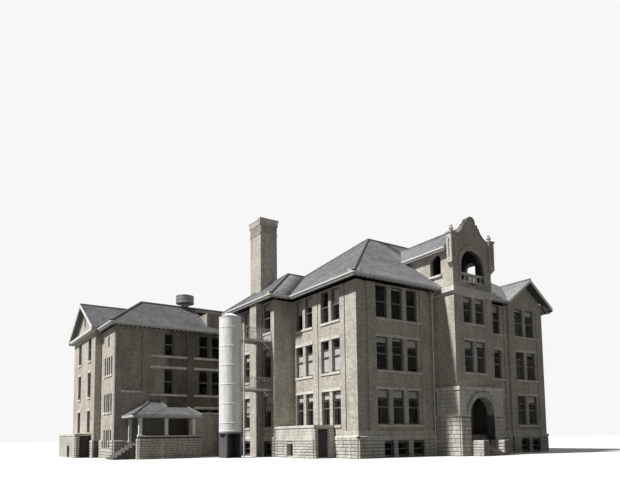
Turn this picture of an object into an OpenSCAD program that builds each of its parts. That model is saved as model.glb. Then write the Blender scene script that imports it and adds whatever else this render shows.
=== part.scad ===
/* [Main block] */
// Length of the main block along the street
main_len = 23400; // [23200:100:23600]
// Depth of the main block
main_dep = 16800; // [16700:50:16900]
// Height of the main eave
eave_h = 14070; // [14000:10:14100]
// How far the main eave stands out from the walls
overhang = 870; // [800:10:900]
// Rise of the hipped roofs for each unit of run
hip_rise = 0.745; // [0.735:0.005:0.755]
// Thickness of the brick walls
wall_t = 450; // [400:10:500]
// Height of the stone base course
base_h = 1600; // [1500:50:1650]
// How far the stone base stands out from the brick
base_out = 60; // [40:5:80]
// Depth of the recessed window bays
bay_recess = 100; // [60:10:140]
// Thickness of each floor
slab_t = 300; // [250:10:320]
// Vertical thickness of the roof slabs
roof_t = 300; // [260:10:320]

/* [Windows] */
// Width of a front window
front_win_w = 1200; // [1100:50:1250]
// Spacing of windows in a group
front_win_pitch = 1640; // [1600:10:1700]
// Width of a side window
side_win_w = 1100; // [1000:50:1150]
// Width of the stiles and rails of a sash
sash_w = 70; // [50:5:90]
// Depth of a sash frame
sash_d = 80; // [60:5:100]
// Thickness of the glass
glass_t = 12; // [8:1:16]
// Height of a stone sill
sill_h = 180; // [150:10:200]

/* [Tower] */
// Width of the entrance tower
tower_w = 4800; // [4700:50:4900]
// How far the brick tower stands out from the front
tower_out = 2100; // [2050:10:2150]
// Width of the entrance and belfry arches
arch_w = 3000; // [2900:50:3050]
// Height where the entrance arch springs
entry_spring = 3300; // [3200:50:3400]
// Height where the belfry arch springs
belfry_spring = 15800; // [15700:50:15900]
// Number of entrance steps
step_count = 8; // [7:1:9]
// Number of balusters in the belfry arch
baluster_count = 6; // [5:1:7]

/* [Chimney] */
// Height of the chimney
chimney_h = 23300; // [23000:50:23400]

/* [Fire slide] */
// Outside diameter of the slide tube
tube_d = 1900; // [1800:50:1950]
// Height of the top of the tube wall
tube_top = 12100; // [12000:50:12200]

/* [Wing] */
// Height of the wing eave
wing_eave = 12000; // [11950:10:12050]
// Rise of the gabled wing roof for each unit of run
gable_rise = 0.5865; // [0.58:0.0005:0.59]

/* [Hidden] */

brick = "#c9c2b4";
shade_brick = "#b8b1a4";
limestone = "#dcd8cc";
shingle = "#8f8f8d";
frame_paint = "#e8e8e4";
glass_tint = "#30343a";
door_paint = "#4a4640";
concrete = "#a9a7a0";
metal_paint = "#d7d6d0";

// The origin is on the ground under the middle of the whole building.
mid_x = 4360;
mid_y = 13650;
// Gap that keeps like pieces of one node apart
gap = 4;
// Length by which a cutter runs past the face that it cuts
over = 50;

// Storeys of the main block
sills = [2570, 6840, 11000];
win_heights = [2760, 2680, 2680];
floor_tops = [120, 1700, 5900, 10100];
ground_slab_t = 120;
frieze_z = 13800;
bay_foot = 2100;
basement_z = 150;
basement_h = 1050;
brick_top = eave_h - roof_t;

// Bays of the front, from left to right
front_left_len = 8600;
strip_left = [630, 1120];
bay_left = [1900, 6850];
strip_right = [7500, 8000];
bay_left_mid = 4300;
front_right_x = 13400;
pavilion_x = 18200;
pavilion_out = 150;
pavilion_mid = 20700;
pavilion_win_w = 1300;
pavilion_pitch = 1700;
front_right_mid = 15800;
bay_right = [14000, 17700];
pavilion_bay = 900;
basement_left = [[2965, 970], [4470, 1160], [6160, 1180]];
basement_right = [[14950, 1100], [16650, 1100], [19850, 1200], [21550, 1200]];

// Steps in the plan of the left side
step_y = 9030;
rear_x = -1980;
side_pair_y = [3420, 7270];
side_pitch = 1500;
rear_window_y = [10320, 14150];
rear_window_w = [1360, 1100];
side_groove_y = [1450, 5150];
groove_w = 120;
right_pair_y = [3400, 8400, 13400];
back_pair_x = [12000, 16200, 20400];

// Roof of the main block
ridge_y = main_dep / 2;
roof_x0 = rear_x - overhang;
roof_x1 = -overhang;
roof_x2 = main_len + overhang;
roof_y1 = -overhang;
roof_y2 = main_dep + overhang;
roof_y3 = step_y - overhang;
half_run = (roof_y2 - roof_y1) / 2;
bump_run = (roof_y2 - roof_y3) / 2;
ridge_x1 = roof_x1 + half_run;
ridge_x2 = roof_x2 - half_run;
bump_y = roof_y3 + bump_run;
bump_x1 = roof_x0 + bump_run;
bump_x2 = roof_x1 + bump_run;

// Tower and entrance
tower_x = main_len / 2 - 3100;
tower_mid = tower_x + tower_w / 2;
stone_out = 500;
stone_side = 300;
pier_d = 750;
impost_h = 200;
impost_out = 60;
band_z = 5300;
band_h = 300;
band_out = 100;
step_run = 300;
steps_front = -3900;
cheek_w = 450;
cheek_h = 1200;
string_z = 13500;
string_h = 400;
string_out = 250;
tower_win_pitch = 1500;
tower_win_w = 1100;
belfry_floor_z = 14400;
belfry_back = 3400;
side_arch_y = [-790, 430];
side_arch_sill = 15200;
side_arch_top = 17050;
tower_eave = 17300;
tower_eave_out = 500;
tower_rise = 0.793;
parapet_z = 18300;
shoulder_z = 19350;
shoulder_w = 1800;
curve_r = 1596;
block_w = 900;
parapet_top = 20200;
rail_z = 15300;

// Wing
wing_x = -13500;
wing_end = 9000;
wing_y = main_dep;
wing_back = 30700;
wing_gable_x = -14100;
wing_gable_y = 21500;
wing_gable_mid = 26000;
wing_eave_y = 20800;
wing_gable_eave = 12200;
wing_ridge_y = 20000;
wing_front_eave = 16300;
wing_hip_x = -14000;
wing_roof_end = 9500;
wing_roof_start = -14600;
wing_sills = [2340, 5750, 9300];
wing_win_h = [2100, 2380, 2200];
wing_floor_tops = [120, 1400, 4900, 8400];
bay_two = [-10360, -6900];
bay_three = [-6200, -2100];
blind_bay = [-12940, -11080];
bay_three_x = [-5175, -3850, -2540];
bay_two_x = [-8625];
bay_two_heights = [2350, 2100];
blind_foot = 5800;
wing_back_x = [-11000, -6500, -2000, 2500, 6500];
gable_win_w = 1200;
wing_pair_pitch = 1600;
wing_pair_w = 1100;
corner_oval = [520, 1150];
corner_oval_at = [19000, 10500];
gable_oval = [600, 1300];
gable_oval_z = 13500;
stair_y = [18300, 19700];
gable_window_y = [23700, 27900];

// Moves a piece from the street corner of the main block to the common origin.
module put() {
  translate([-mid_x, -mid_y, 0]) children();
}

// The rear part of the left side starts at the inside of the back wall.
rear_start = main_dep - wall_t;

function rear_windows() =
  [for (i = [0, 1]) for (h = rows([rear_start - rear_window_y[i]], rear_window_w[i])) h];

function rear_low_windows() = low_windows([[rear_start - 14050, 1500], [rear_start - 10150, 1300]]);

// Walls are drawn as seen from outside: x to the right, y inwards, z up.
module on_left(x, y) {
  translate([x, y, 0]) rotate([0, 0, -90]) children();
}

module on_right(x, y) {
  translate([x, y, 0]) rotate([0, 0, 90]) children();
}

module on_back(x, y) {
  translate([x, y, 0]) rotate([0, 0, 180]) children();
}

// A hole is [middle, foot, width, height].
module hole(h, t) {
  translate([h[0] - h[2] / 2, -over - base_out, h[1]]) cube([h[2], t + 2 * over + base_out, h[3]]);
}

// A recess is [start, end, foot, head] and is as deep as the window bays.
module recess(r) {
  translate([r[0], -over, r[2]]) cube([r[1] - r[0], over + bay_recess, r[3] - r[2]]);
}

module plain_wall(len, z0, z1, holes, recesses = [], t = wall_t) {
  difference() {
    translate([0, 0, z0]) cube([len, t, z1 - z0]);
    for (h = holes) hole(h, t);
    for (r = recesses) recess(r);
  }
}

module base_wall(len, holes, back = wall_t) {
  difference() {
    translate([0, -base_out, 0]) cube([len, back + base_out, base_h]);
    for (h = holes) hole(h, back);
  }
}

// Rows of windows: one hole for each middle and each storey.
function rows(mids, w, feet = sills, heights = win_heights) =
  [for (i = [0 : len(feet) - 1]) for (m = mids) [m, feet[i], w, heights[i]]];

function pair(mid, pitch) = [mid - pitch / 2, mid + pitch / 2];

function triple(mid, pitch) = [mid - pitch, mid, mid + pitch];

function low_windows(list) = [for (b = list) [b[0], basement_z, b[1], basement_h]];

// The sash of a window: a frame with a lower and an upper light.
module sash(h, inset) {
  light_w = h[2] - 2 * sash_w;
  light_h = (h[3] - 3 * sash_w) / 2;
  translate([h[0] - h[2] / 2, inset, h[1]]) difference() {
    cube([h[2], sash_d, h[3]]);
    for (i = [0, 1]) translate([sash_w, -over, sash_w + i * (light_h + sash_w)])
      cube([light_w, sash_d + 2 * over, light_h]);
  }
}

module pane(h, inset) {
  edge = sash_w / 2;
  translate([h[0] - h[2] / 2 + edge, inset + sash_d, h[1] + edge])
    cube([h[2] - 2 * edge, glass_t, h[3] - 2 * edge]);
}

// How far a sill stands out from a plain wall, a sill from a recessed bay, and a lintel
sill_out = 80;
bar_out = 60;
lintel_out = 40;
lintel_h = 220;
// How far sills and lintels run past their windows
bar_end = 60;

// Shrinks an outline by a small gap, so that the slabs of one roof stay apart.
function unit_out(a, b) = let (v = b - a, l = norm(v)) [v[1] / l, -v[0] / l];

function shrink(p, d) = [for (i = [0 : len(p) - 1])
  let (
    n = len(p),
    n1 = unit_out(p[(i + n - 1) % n], p[i]),
    n2 = unit_out(p[i], p[(i + 1) % n]),
    c1 = n1 * p[i] - d,
    c2 = n2 * p[i] - d,
    det = n1[0] * n2[1] - n1[1] * n2[0]
  )
  [(c1 * n2[1] - c2 * n1[1]) / det, (n1[0] * c2 - n2[0] * c1) / det]
];

// Profile of a sloping slab whose top passes through height z at place u.
module slope_profile(u, z, rise, run, t) {
  polygon([[u - run, z - rise * run - t], [u + run, z + rise * run - t],
    [u + run, z + rise * run], [u - run, z - rise * run]]);
}

reach = 40000;

// Slab over an outline, rising to the back, from height z at y = u.
module slab_y(outline, u, z, rise, t = roof_t) {
  intersection() {
    linear_extrude(height = reach) polygon(shrink(outline, gap / 2));
    translate([-reach, 0, 0]) rotate([90, 0, 90]) linear_extrude(height = 2 * reach)
      slope_profile(u, z, rise, reach / 2, t);
  }
}

// Slab over an outline, rising to the right, from height z at x = u.
module slab_x(outline, u, z, rise, t = roof_t) {
  intersection() {
    linear_extrude(height = reach) polygon(shrink(outline, gap / 2));
    translate([0, reach + 10000, 0]) rotate([90, 0, 0]) linear_extrude(height = 2 * reach)
      slope_profile(u, z, rise, reach / 2, t);
  }
}

// All that lies below the front slope of the main roof.
module under_front_slope() {
  translate([-reach / 2, 0, 0]) rotate([90, 0, 90]) linear_extrude(height = 2 * reach)
    polygon([[roof_y1 - 3000, 0], [ridge_y, 0], [ridge_y, eave_h + hip_rise * (ridge_y - roof_y1)],
      [roof_y1 - 3000, eave_h - hip_rise * 3000]]);
}

module main_stone_base() {
  left_end = step_y - base_out - gap;
  color(limestone) put() {
    translate([-base_out, 0, 0]) base_wall(front_left_len - stone_side - gap + base_out,
      low_windows([for (b = basement_left) b + [base_out, 0]]));
    translate([front_right_x + stone_side + gap, 0, 0])
      base_wall(pavilion_x - front_right_x - stone_side - 2 * gap,
        low_windows([for (b = [0, 1]) basement_right[b] - [front_right_x + stone_side + gap, 0]]));
    translate([pavilion_x, -pavilion_out, 0])
      base_wall(main_len - pavilion_x + base_out,
        low_windows([for (b = [2, 3]) basement_right[b] - [pavilion_x, 0]]), wall_t + pavilion_out);
    on_left(0, left_end) base_wall(left_end - wall_t - gap, []);
    translate([rear_x - base_out, step_y, 0]) base_wall(-rear_x + base_out + wall_t, []);
    on_left(rear_x, rear_start) base_wall(rear_start - gap - step_y - wall_t - gap, rear_low_windows());
    on_right(main_len, wall_t + gap) base_wall(main_dep - 2 * wall_t - 2 * gap, low_windows(
      [for (y = right_pair_y) [y - wall_t - gap, 1300]]));
    on_back(main_len + base_out, main_dep) base_wall(main_len + 2 * base_out - rear_x, low_windows(
      [for (x = back_pair_x) [main_len + base_out - x, 1300]]));
    // Under the inner wall of the entrance
    translate([front_left_len - stone_side, 0, 0])
      cube([front_right_x - front_left_len + 2 * stone_side, wall_t - gap, floor_tops[1] - slab_t]);
  }
}

module front_wall() {
  start = front_right_x - wall_t;
  color(brick) put() {
    plain_wall(front_left_len + wall_t, base_h, brick_top,
      rows(triple(bay_left_mid, front_win_pitch), front_win_w),
      [for (s = [strip_left, bay_left, strip_right]) [s[0], s[1], bay_foot, frieze_z]]);
    translate([start, 0, 0])
      plain_wall(pavilion_x - start, base_h, brick_top,
        rows(pair(front_right_mid - start, front_win_pitch), front_win_w),
        [[bay_right[0] - start, bay_right[1] - start, bay_foot, frieze_z]]);
  }
}

pavilion_len = main_len - pavilion_x;
pavilion_rise = 0.72;
pavilion_eave_x = pavilion_x - 900;
pavilion_ridge_z = eave_h + pavilion_rise * (pavilion_mid - pavilion_eave_x);

module pavilion_wall() {
  under_x1 = brick_top + pavilion_rise * (pavilion_x - pavilion_eave_x);
  under_x2 = pavilion_ridge_z - roof_t - pavilion_rise * (main_len - pavilion_mid);
  color(brick) put() translate([pavilion_x, -pavilion_out, 0]) difference() {
    translate([0, wall_t + pavilion_out, 0]) rotate([90, 0, 0])
      linear_extrude(height = wall_t + pavilion_out)
        polygon([[0, base_h], [pavilion_len, base_h], [pavilion_len, under_x2],
          [pavilion_mid - pavilion_x, pavilion_ridge_z - roof_t], [0, under_x1]]);
    for (h = rows(pair(pavilion_mid - pavilion_x, pavilion_pitch), pavilion_win_w))
      hole(h, wall_t + pavilion_out);
    recess([pavilion_bay, pavilion_len - pavilion_bay, bay_foot, frieze_z]);
  }
}

module left_side_wall() {
  color(brick) put() on_left(0, step_y)
    plain_wall(step_y - wall_t, base_h, brick_top,
      [for (m = side_pair_y) for (h = rows(pair(step_y - m, side_pitch), side_win_w)) h],
      [for (y = side_groove_y) [step_y - y - groove_w / 2, step_y - y + groove_w / 2, bay_foot, frieze_z]]);
}

module rear_side_walls() {
  pier_y = [11090, 12320];
  pier_out = 660;
  color(brick) put() {
    translate([rear_x, step_y, 0]) plain_wall(-rear_x + wall_t, base_h, brick_top, []);
    on_left(rear_x, rear_start) {
      plain_wall(rear_start - step_y - wall_t - gap, base_h, brick_top, rear_windows());
      translate([rear_start - pier_y[1], -pier_out, 0])
        cube([pier_y[1] - pier_y[0], pier_out - base_out - gap, brick_top]);
    }
  }
}

module right_side_wall() {
  color(brick) put() on_right(main_len, wall_t)
    plain_wall(main_dep - 2 * wall_t, base_h, brick_top,
      [for (m = right_pair_y) for (h = rows(pair(m - wall_t, front_win_pitch), front_win_w)) h]);
}

module back_wall() {
  color(brick) put() on_back(main_len, main_dep)
    plain_wall(main_len - rear_x, base_h, brick_top,
      [for (m = back_pair_x) for (h = rows(pair(main_len - m, front_win_pitch), front_win_w)) h]);
}

module main_floors() {
  inner_x = tower_x + wall_t;
  landing_y = steps_front + step_run * step_count;
  color(concrete) put() {
    for (i = [0 : len(floor_tops) - 1]) {
      t = i == 0 ? ground_slab_t : slab_t;
      difference() {
        union() {
          translate([wall_t, wall_t, floor_tops[i] - t])
            cube([main_len - 2 * wall_t, main_dep - 2 * wall_t, t]);
          translate([rear_x + wall_t, step_y + wall_t, floor_tops[i] - t])
            cube([-rear_x - gap, main_dep - step_y - 2 * wall_t, t]);
        }
        if (i > 0) chimney_void();
      }
    }
    for (i = [1, 2, 3]) {
      y = i == 1 ? landing_y : -tower_out + wall_t;
      translate([inner_x, y, floor_tops[i] - slab_t])
        cube([tower_w - 2 * wall_t, wall_t - gap - y, slab_t]);
    }
    translate([inner_x, -tower_out + wall_t, belfry_floor_z - 150])
      cube([tower_w - 2 * wall_t, belfry_back + tower_out - wall_t, 150]);
  }
}

// The room that the chimney takes in the floors and the roof
module chimney_void() {
  translate([chimney[0] - gap, chimney[1] - gap, ground_slab_t + over])
    cube([chimney[2] + 2 * gap, chimney[3] + 2 * gap, chimney_h]);
}

module main_roof() {
  cut = roof_t / hip_rise;
  valley_y = roof_y1 + (tower_eave - eave_h) / hip_rise;
  tower_edge = tower_x - tower_eave_out;
  ridge_meet = roof_y1 + (tower_eave + tower_rise * (tower_mid - tower_edge) - eave_h) / hip_rise;
  side_meet = valley_y + (tower_x - tower_edge) * tower_rise / hip_rise;
  tower_x2 = tower_x + tower_w;
  gable_meet = roof_y1 + (pavilion_ridge_z - eave_h) / hip_rise;
  gable_edge2 = 2 * pavilion_mid - pavilion_eave_x;
  color(shingle) put() {
    // Left part of the front slope
    slab_y([[roof_x1, roof_y1], [tower_x, roof_y1], [tower_x, ridge_y], [ridge_x1, ridge_y]],
      roof_y1, eave_h, hip_rise);
    // Behind the tower roof
    slab_y([[tower_x, side_meet - cut], [tower_mid, ridge_meet - cut], [tower_mid, ridge_y],
      [tower_x, ridge_y]], roof_y1, eave_h, hip_rise);
    slab_y([[tower_mid, ridge_meet - cut], [tower_x2, side_meet - cut], [tower_x2, ridge_y],
      [tower_mid, ridge_y]], roof_y1, eave_h, hip_rise);
    // Between the tower and the gable, and behind the gable
    slab_y([[tower_x2, roof_y1], [pavilion_eave_x, roof_y1],
      [pavilion_eave_x, ridge_y - pavilion_eave_x + ridge_x2], [ridge_x2, ridge_y], [tower_x2, ridge_y]],
      roof_y1, eave_h, hip_rise);
    difference() {
      union() {
        slab_y([[pavilion_eave_x, roof_y1], [pavilion_mid, gable_meet - cut],
          [pavilion_mid, ridge_y + ridge_x2 - pavilion_mid],
          [pavilion_eave_x, ridge_y - pavilion_eave_x + ridge_x2]], roof_y1, eave_h, hip_rise);
        slab_y([[pavilion_mid, gable_meet - cut], [gable_edge2, roof_y1], [roof_x2, roof_y1],
          [pavilion_mid, ridge_y + ridge_x2 - pavilion_mid]], roof_y1, eave_h, hip_rise);
      }
      translate([pavilion_x, -over - pavilion_out, brick_top - over])
        cube([pavilion_len, wall_t + pavilion_out + over, 4000]);
    }
    // Right hip
    slab_x([[roof_x2, roof_y1], [roof_x2, roof_y2], [ridge_x2, ridge_y]], roof_x2, eave_h, -hip_rise);
    // Back slope in two parts
    slab_y([[roof_x2, roof_y2], [bump_x2, roof_y2], [bump_x2, bump_y], [ridge_x1, ridge_y],
      [ridge_x2, ridge_y]], roof_y2, eave_h, -hip_rise);
    difference() {
      slab_y([[bump_x2, roof_y2], [roof_x0, roof_y2], [bump_x1, bump_y], [bump_x2, bump_y]],
        roof_y2, eave_h, -hip_rise);
      chimney_void();
    }
    // Left hip and the step in it
    slab_x([[roof_x1, roof_y1], [ridge_x1, ridge_y], [bump_x2, bump_y], [roof_x1, roof_y3]],
      roof_x1, eave_h, hip_rise);
    slab_y([[roof_x0, roof_y3], [roof_x1, roof_y3], [bump_x2, bump_y], [bump_x1, bump_y]],
      roof_y3, eave_h, hip_rise);
    difference() {
      slab_x([[roof_x0, roof_y3], [bump_x1, bump_y], [roof_x0, roof_y2]], roof_x0, eave_h, hip_rise);
      chimney_void();
    }
  }
}

module pavilion_roof() {
  front = -950;
  meet = roof_y1 + (pavilion_ridge_z - eave_h) / hip_rise;
  edge2 = 2 * pavilion_mid - pavilion_eave_x;
  color(shingle) put() difference() {
    union() {
      slab_x([[pavilion_eave_x, front], [pavilion_mid, front], [pavilion_mid, meet],
        [pavilion_eave_x, roof_y1]], pavilion_eave_x, eave_h, pavilion_rise);
      slab_x([[pavilion_mid, front], [edge2, front], [edge2, roof_y1], [pavilion_mid, meet]],
        edge2, eave_h, -pavilion_rise);
    }
    intersection() {
      under_front_slope();
      translate([0, roof_y1, 0]) cube([reach, reach, reach]);
    }
  }
}

// A sill and a lintel that run along one window or a group, on a plain or a recessed face
module dressings(x1, x2, foot, head, recessed = false, lintel = true) {
  face = recessed ? bay_recess : 0;
  out = recessed ? bay_recess + bar_out : sill_out;
  translate([x1, face - out, foot - sill_h]) cube([x2 - x1, out, sill_h]);
  if (lintel) translate([x1, face - lintel_out, head]) cube([x2 - x1, lintel_out, lintel_h]);
}

// Bars along a recessed bay, from edge to edge; the top storey reaches the frieze and has no lintel.
module bay_dressings(x1, x2, feet, heights) {
  last = len(feet) - 1;
  for (i = [0 : last])
    dressings(x1 + gap, x2 - gap, feet[i], feet[i] + heights[i], true, i < last);
}

// Bars along a group of windows on a plain wall
module group_dressings(mid, half, feet = sills, heights = win_heights, lintel_at_top = false) {
  last = len(feet) - 1;
  for (i = [0 : last])
    dressings(mid - half - bar_end, mid + half + bar_end, feet[i], feet[i] + heights[i], false,
      i < last || lintel_at_top);
}

module stone_sills() {
  front_half = (front_win_pitch + front_win_w) / 2;
  side_half = (side_pitch + side_win_w) / 2;
  color(limestone) put() {
    bay_dressings(bay_left[0], bay_left[1], sills, win_heights);
    bay_dressings(bay_right[0], bay_right[1], sills, win_heights);
    translate([0, -pavilion_out, 0])
      bay_dressings(pavilion_x + pavilion_bay, main_len - pavilion_bay, sills, win_heights);
    on_left(0, step_y) for (m = side_pair_y) group_dressings(step_y - m, side_half);
    on_left(rear_x, rear_start)
      for (i = [0, 1]) group_dressings(rear_start - rear_window_y[i], rear_window_w[i] / 2);
    on_right(main_len, 0) for (m = right_pair_y) group_dressings(m, front_half);
    on_back(main_len, main_dep) for (m = back_pair_x) group_dressings(main_len - m, front_half);
    translate([0, -tower_out, 0])
      group_dressings(tower_mid, (tower_win_pitch + tower_win_w) / 2, tower_sills, tower_heights, true);
    translate([0, wing_y, 0]) {
      bay_dressings(bay_three[0], bay_three[1], wing_sills, wing_win_h);
      bay_dressings(bay_two[0], bay_two[1], [wing_sills[1], wing_sills[2]], bay_two_heights);
      dressings(blind_bay[0] + gap, blind_bay[1] - gap, blind_foot + sill_h, 0, true, false);
    }
    on_left(wing_x, wing_gable_y)
      for (h = stair_windows()) translate([0, h[1] < base_h ? -base_out : 0, 0])
        dressings(h[0] - h[2] / 2 - bar_end, h[0] + h[2] / 2 + bar_end, h[1], 0, false, false);
    on_left(wing_gable_x, wing_back)
      for (y = gable_window_y) group_dressings(wing_back - y, gable_win_w / 2, wing_sills, wing_win_h, true);
    on_back(wing_end, wing_back)
      for (x = wing_back_x)
        group_dressings(wing_end - x, (wing_pair_pitch + wing_pair_w) / 2, wing_sills, wing_win_h);
  }
}

tower_sills = [sills[1], sills[2]];
tower_heights = [2680, 2200];

function tower_windows() = rows(pair(tower_mid, tower_win_pitch), tower_win_w, tower_sills, tower_heights);

function wing_front_windows() = concat(
  rows(bay_three_x, 1000, wing_sills, wing_win_h),
  rows(bay_two_x, 890, [wing_sills[1], wing_sills[2]], bay_two_heights));

function stair_windows() = [for (y = stair_y) for (z = [860, 4110, 7460]) for (s = [-1, 1])
  [wing_gable_y - y + s * 380, z, 460, 1650]];

function gable_windows() =
  rows([for (y = gable_window_y) wing_back - y], gable_win_w, wing_sills, wing_win_h);

function wing_back_windows() = [for (x = wing_back_x)
  for (h = rows(pair(wing_end - x, wing_pair_pitch), wing_pair_w, wing_sills, wing_win_h)) h];

function wing_right_windows() = [for (y = [20500, 26500])
  for (h = rows(pair(y - wing_y, wing_pair_pitch), wing_pair_w, wing_sills, wing_win_h)) h];

module main_windows(part) {
  front = bay_recess + 120;
  plain = 130;
  for (h = concat(rows(triple(bay_left_mid, front_win_pitch), front_win_w),
    rows(pair(front_right_mid, front_win_pitch), front_win_w))) one_window(part, h, front);
  translate([0, -pavilion_out, 0])
    for (h = rows(pair(pavilion_mid, pavilion_pitch), pavilion_win_w)) one_window(part, h, front);
  translate([0, -tower_out, 0]) for (h = tower_windows()) one_window(part, h, plain);
  for (h = low_windows(concat(basement_left, [basement_right[0], basement_right[1]])))
    one_window(part, h, plain);
  translate([0, -pavilion_out, 0])
    for (h = low_windows([basement_right[2], basement_right[3]])) one_window(part, h, plain);
  on_left(0, step_y) for (m = side_pair_y)
    for (h = rows(pair(step_y - m, side_pitch), side_win_w)) one_window(part, h, plain);
  on_left(rear_x, rear_start) for (h = concat(rear_windows(), rear_low_windows())) one_window(part, h, plain);
  on_right(main_len, 0) {
    for (m = right_pair_y) for (h = rows(pair(m, front_win_pitch), front_win_w)) one_window(part, h, plain);
    for (h = low_windows([for (y = right_pair_y) [y, 1300]])) one_window(part, h, plain);
  }
  on_back(main_len, main_dep) {
    for (m = back_pair_x) for (h = rows(pair(main_len - m, front_win_pitch), front_win_w))
      one_window(part, h, plain);
    for (h = low_windows([for (x = back_pair_x) [main_len - x, 1300]])) one_window(part, h, plain);
  }
}

module one_window(part, h, inset) {
  if (part == "frame") sash(h, inset);
  if (part == "glass") pane(h, inset);
}

module main_window_frames() {
  color(frame_paint) put() main_windows("frame");
}

module main_window_glass() {
  color(glass_tint) put() main_windows("glass");
}

module entrance_piers() {
  x1 = tower_x - stone_side;
  side_t = stone_side + wall_t;
  inner = tower_mid - arch_w / 2;
  color(limestone) put() for (s = [0, 1]) translate([s * 2 * tower_mid, 0, 0]) mirror([s, 0, 0]) {
    translate([x1, -tower_out - stone_out, 0]) cube([inner - x1, pier_d, entry_spring - impost_h]);
    translate([x1 - impost_out, -tower_out - stone_out - impost_out, entry_spring - impost_h])
      cube([inner - x1 + impost_out, pier_d + impost_out, impost_h]);
    translate([x1, -tower_out - stone_out + pier_d + gap, 0])
      cube([side_t, tower_out + stone_out - pier_d - gap, band_z]);
  }
}

module entrance_arch() {
  x1 = tower_x - stone_side;
  w = tower_w + 2 * stone_side;
  color(limestone) put() difference() {
    translate([x1, -tower_out - stone_out, entry_spring]) cube([w, pier_d, band_z - entry_spring]);
    translate([tower_mid, -tower_out - stone_out - over, entry_spring]) rotate([-90, 0, 0])
      cylinder(d = arch_w, h = pier_d + 2 * over, $fn = 64);
  }
  color(limestone) put() translate([tower_mid, -tower_out - stone_out + 20, entry_spring]) rotate([90, 0, 0])
    archivolt(arch_w, 420, 70);
}

module entrance_band() {
  x1 = tower_x - stone_side - band_out;
  color(limestone) put() translate([x1, -tower_out - stone_out - band_out, band_z])
    cube([tower_w + 2 * (stone_side + band_out), tower_out + stone_out + band_out, band_h]);
}

module entrance_steps() {
  riser = floor_tops[1] / step_count;
  half = arch_w / 2 - cheek_w;
  color(limestone) put() {
    for (i = [0 : step_count - 1]) translate([tower_mid - half, steps_front + i * step_run, 0])
      cube([2 * half, step_run - gap, riser * (i + 1)]);
    for (s = [-1, 1])
      translate([tower_mid + s * (half + cheek_w / 2 + gap / 2) - cheek_w / 2 + gap / 2, steps_front, 0])
      cube([cheek_w - gap, -steps_front - tower_out - stone_out + pier_d, cheek_h]);
  }
}

module vestibule_wall() {
  door_w = 2000;
  door_h = 3100;
  inner_w = tower_w - 2 * wall_t;
  color(shade_brick) put() translate([tower_mid, 0, floor_tops[1]]) {
    for (s = [-1, 1]) translate([s > 0 ? door_w / 2 : -inner_w / 2, 0, 0])
      cube([(inner_w - door_w) / 2, wall_t, band_z - floor_tops[1]]);
    translate([-door_w / 2 + gap, 0, door_h])
      cube([door_w - 2 * gap, wall_t, band_z - floor_tops[1] - door_h]);
  }
}

module entrance_doors() {
  leaf_w = 990;
  leaf_h = 3090;
  color(door_paint) put() for (s = [0, 1])
    translate([tower_mid + (s == 0 ? -leaf_w - gap : gap), 150, floor_tops[1]]) cube([leaf_w, 60, leaf_h]);
}

module tower_walls() {
  z0 = band_z + band_h;
  color(brick) put() {
    translate([0, -tower_out, 0]) difference() {
      translate([tower_x, 0, z0]) cube([tower_w, wall_t, string_z - z0]);
      for (h = tower_windows()) hole(h, wall_t);
    }
    for (x = [tower_x, tower_x + tower_w - wall_t]) translate([x, -tower_out + wall_t + gap, z0])
      cube([wall_t, tower_out - wall_t - gap, string_z - z0]);
  }
}

module string_course() {
  color(limestone) put() {
    translate([tower_x - string_out, -tower_out - string_out, string_z])
      cube([tower_w + 2 * string_out, roof_y1 - gap + tower_out + string_out, string_h]);
    translate([tower_x, roof_y1 - 2 * gap, string_z]) cube([tower_w, -roof_y1 + 2 * gap, string_h]);
  }
}

module parapet_outline() {
  half = tower_w / 2;
  difference() {
    union() {
      translate([-half, string_z + string_h]) square([tower_w, parapet_z - string_z - string_h]);
      translate([-half, parapet_z]) square([tower_w, shoulder_z - parapet_z]);
    }
    for (s = [-1, 1]) translate([s * half, parapet_z + curve_r]) circle(r = curve_r, $fn = 96);
  }
  translate([-shoulder_w / 2 + 150, shoulder_z]) square([shoulder_w - 300, 250]);
  translate([-block_w / 2, shoulder_z + 250]) square([block_w, parapet_top - block_w / 2 - shoulder_z - 250]);
  translate([0, parapet_top - block_w / 2]) circle(d = block_w, $fn = 48);
}

// Half ring of stone over an arch, standing out from the wall
module archivolt(d, band, out) {
  difference() {
    cylinder(d = d + 2 * band, h = out, $fn = 64);
    translate([0, 0, -over]) cylinder(d = d, h = out + 2 * over, $fn = 64);
    translate([-d, -2 * d, -over]) cube([2 * d, 2 * d, out + 2 * over]);
  }
}

module belfry_front() {
  foot = belfry_floor_z + 100;
  color(limestone) put() translate([tower_mid, -tower_out + wall_t, 0]) rotate([90, 0, 0])
    linear_extrude(height = wall_t) difference() {
      parapet_outline();
      translate([-arch_w / 2, foot]) square([arch_w, belfry_spring - foot]);
      translate([0, belfry_spring]) circle(d = arch_w, $fn = 64);
    }
  color(limestone) put() translate([tower_mid, -tower_out + 20, belfry_spring]) rotate([90, 0, 0]) {
    archivolt(arch_w, 380, 90);
    archivolt(arch_w + 300, 230, 160);
  }
}

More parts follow.
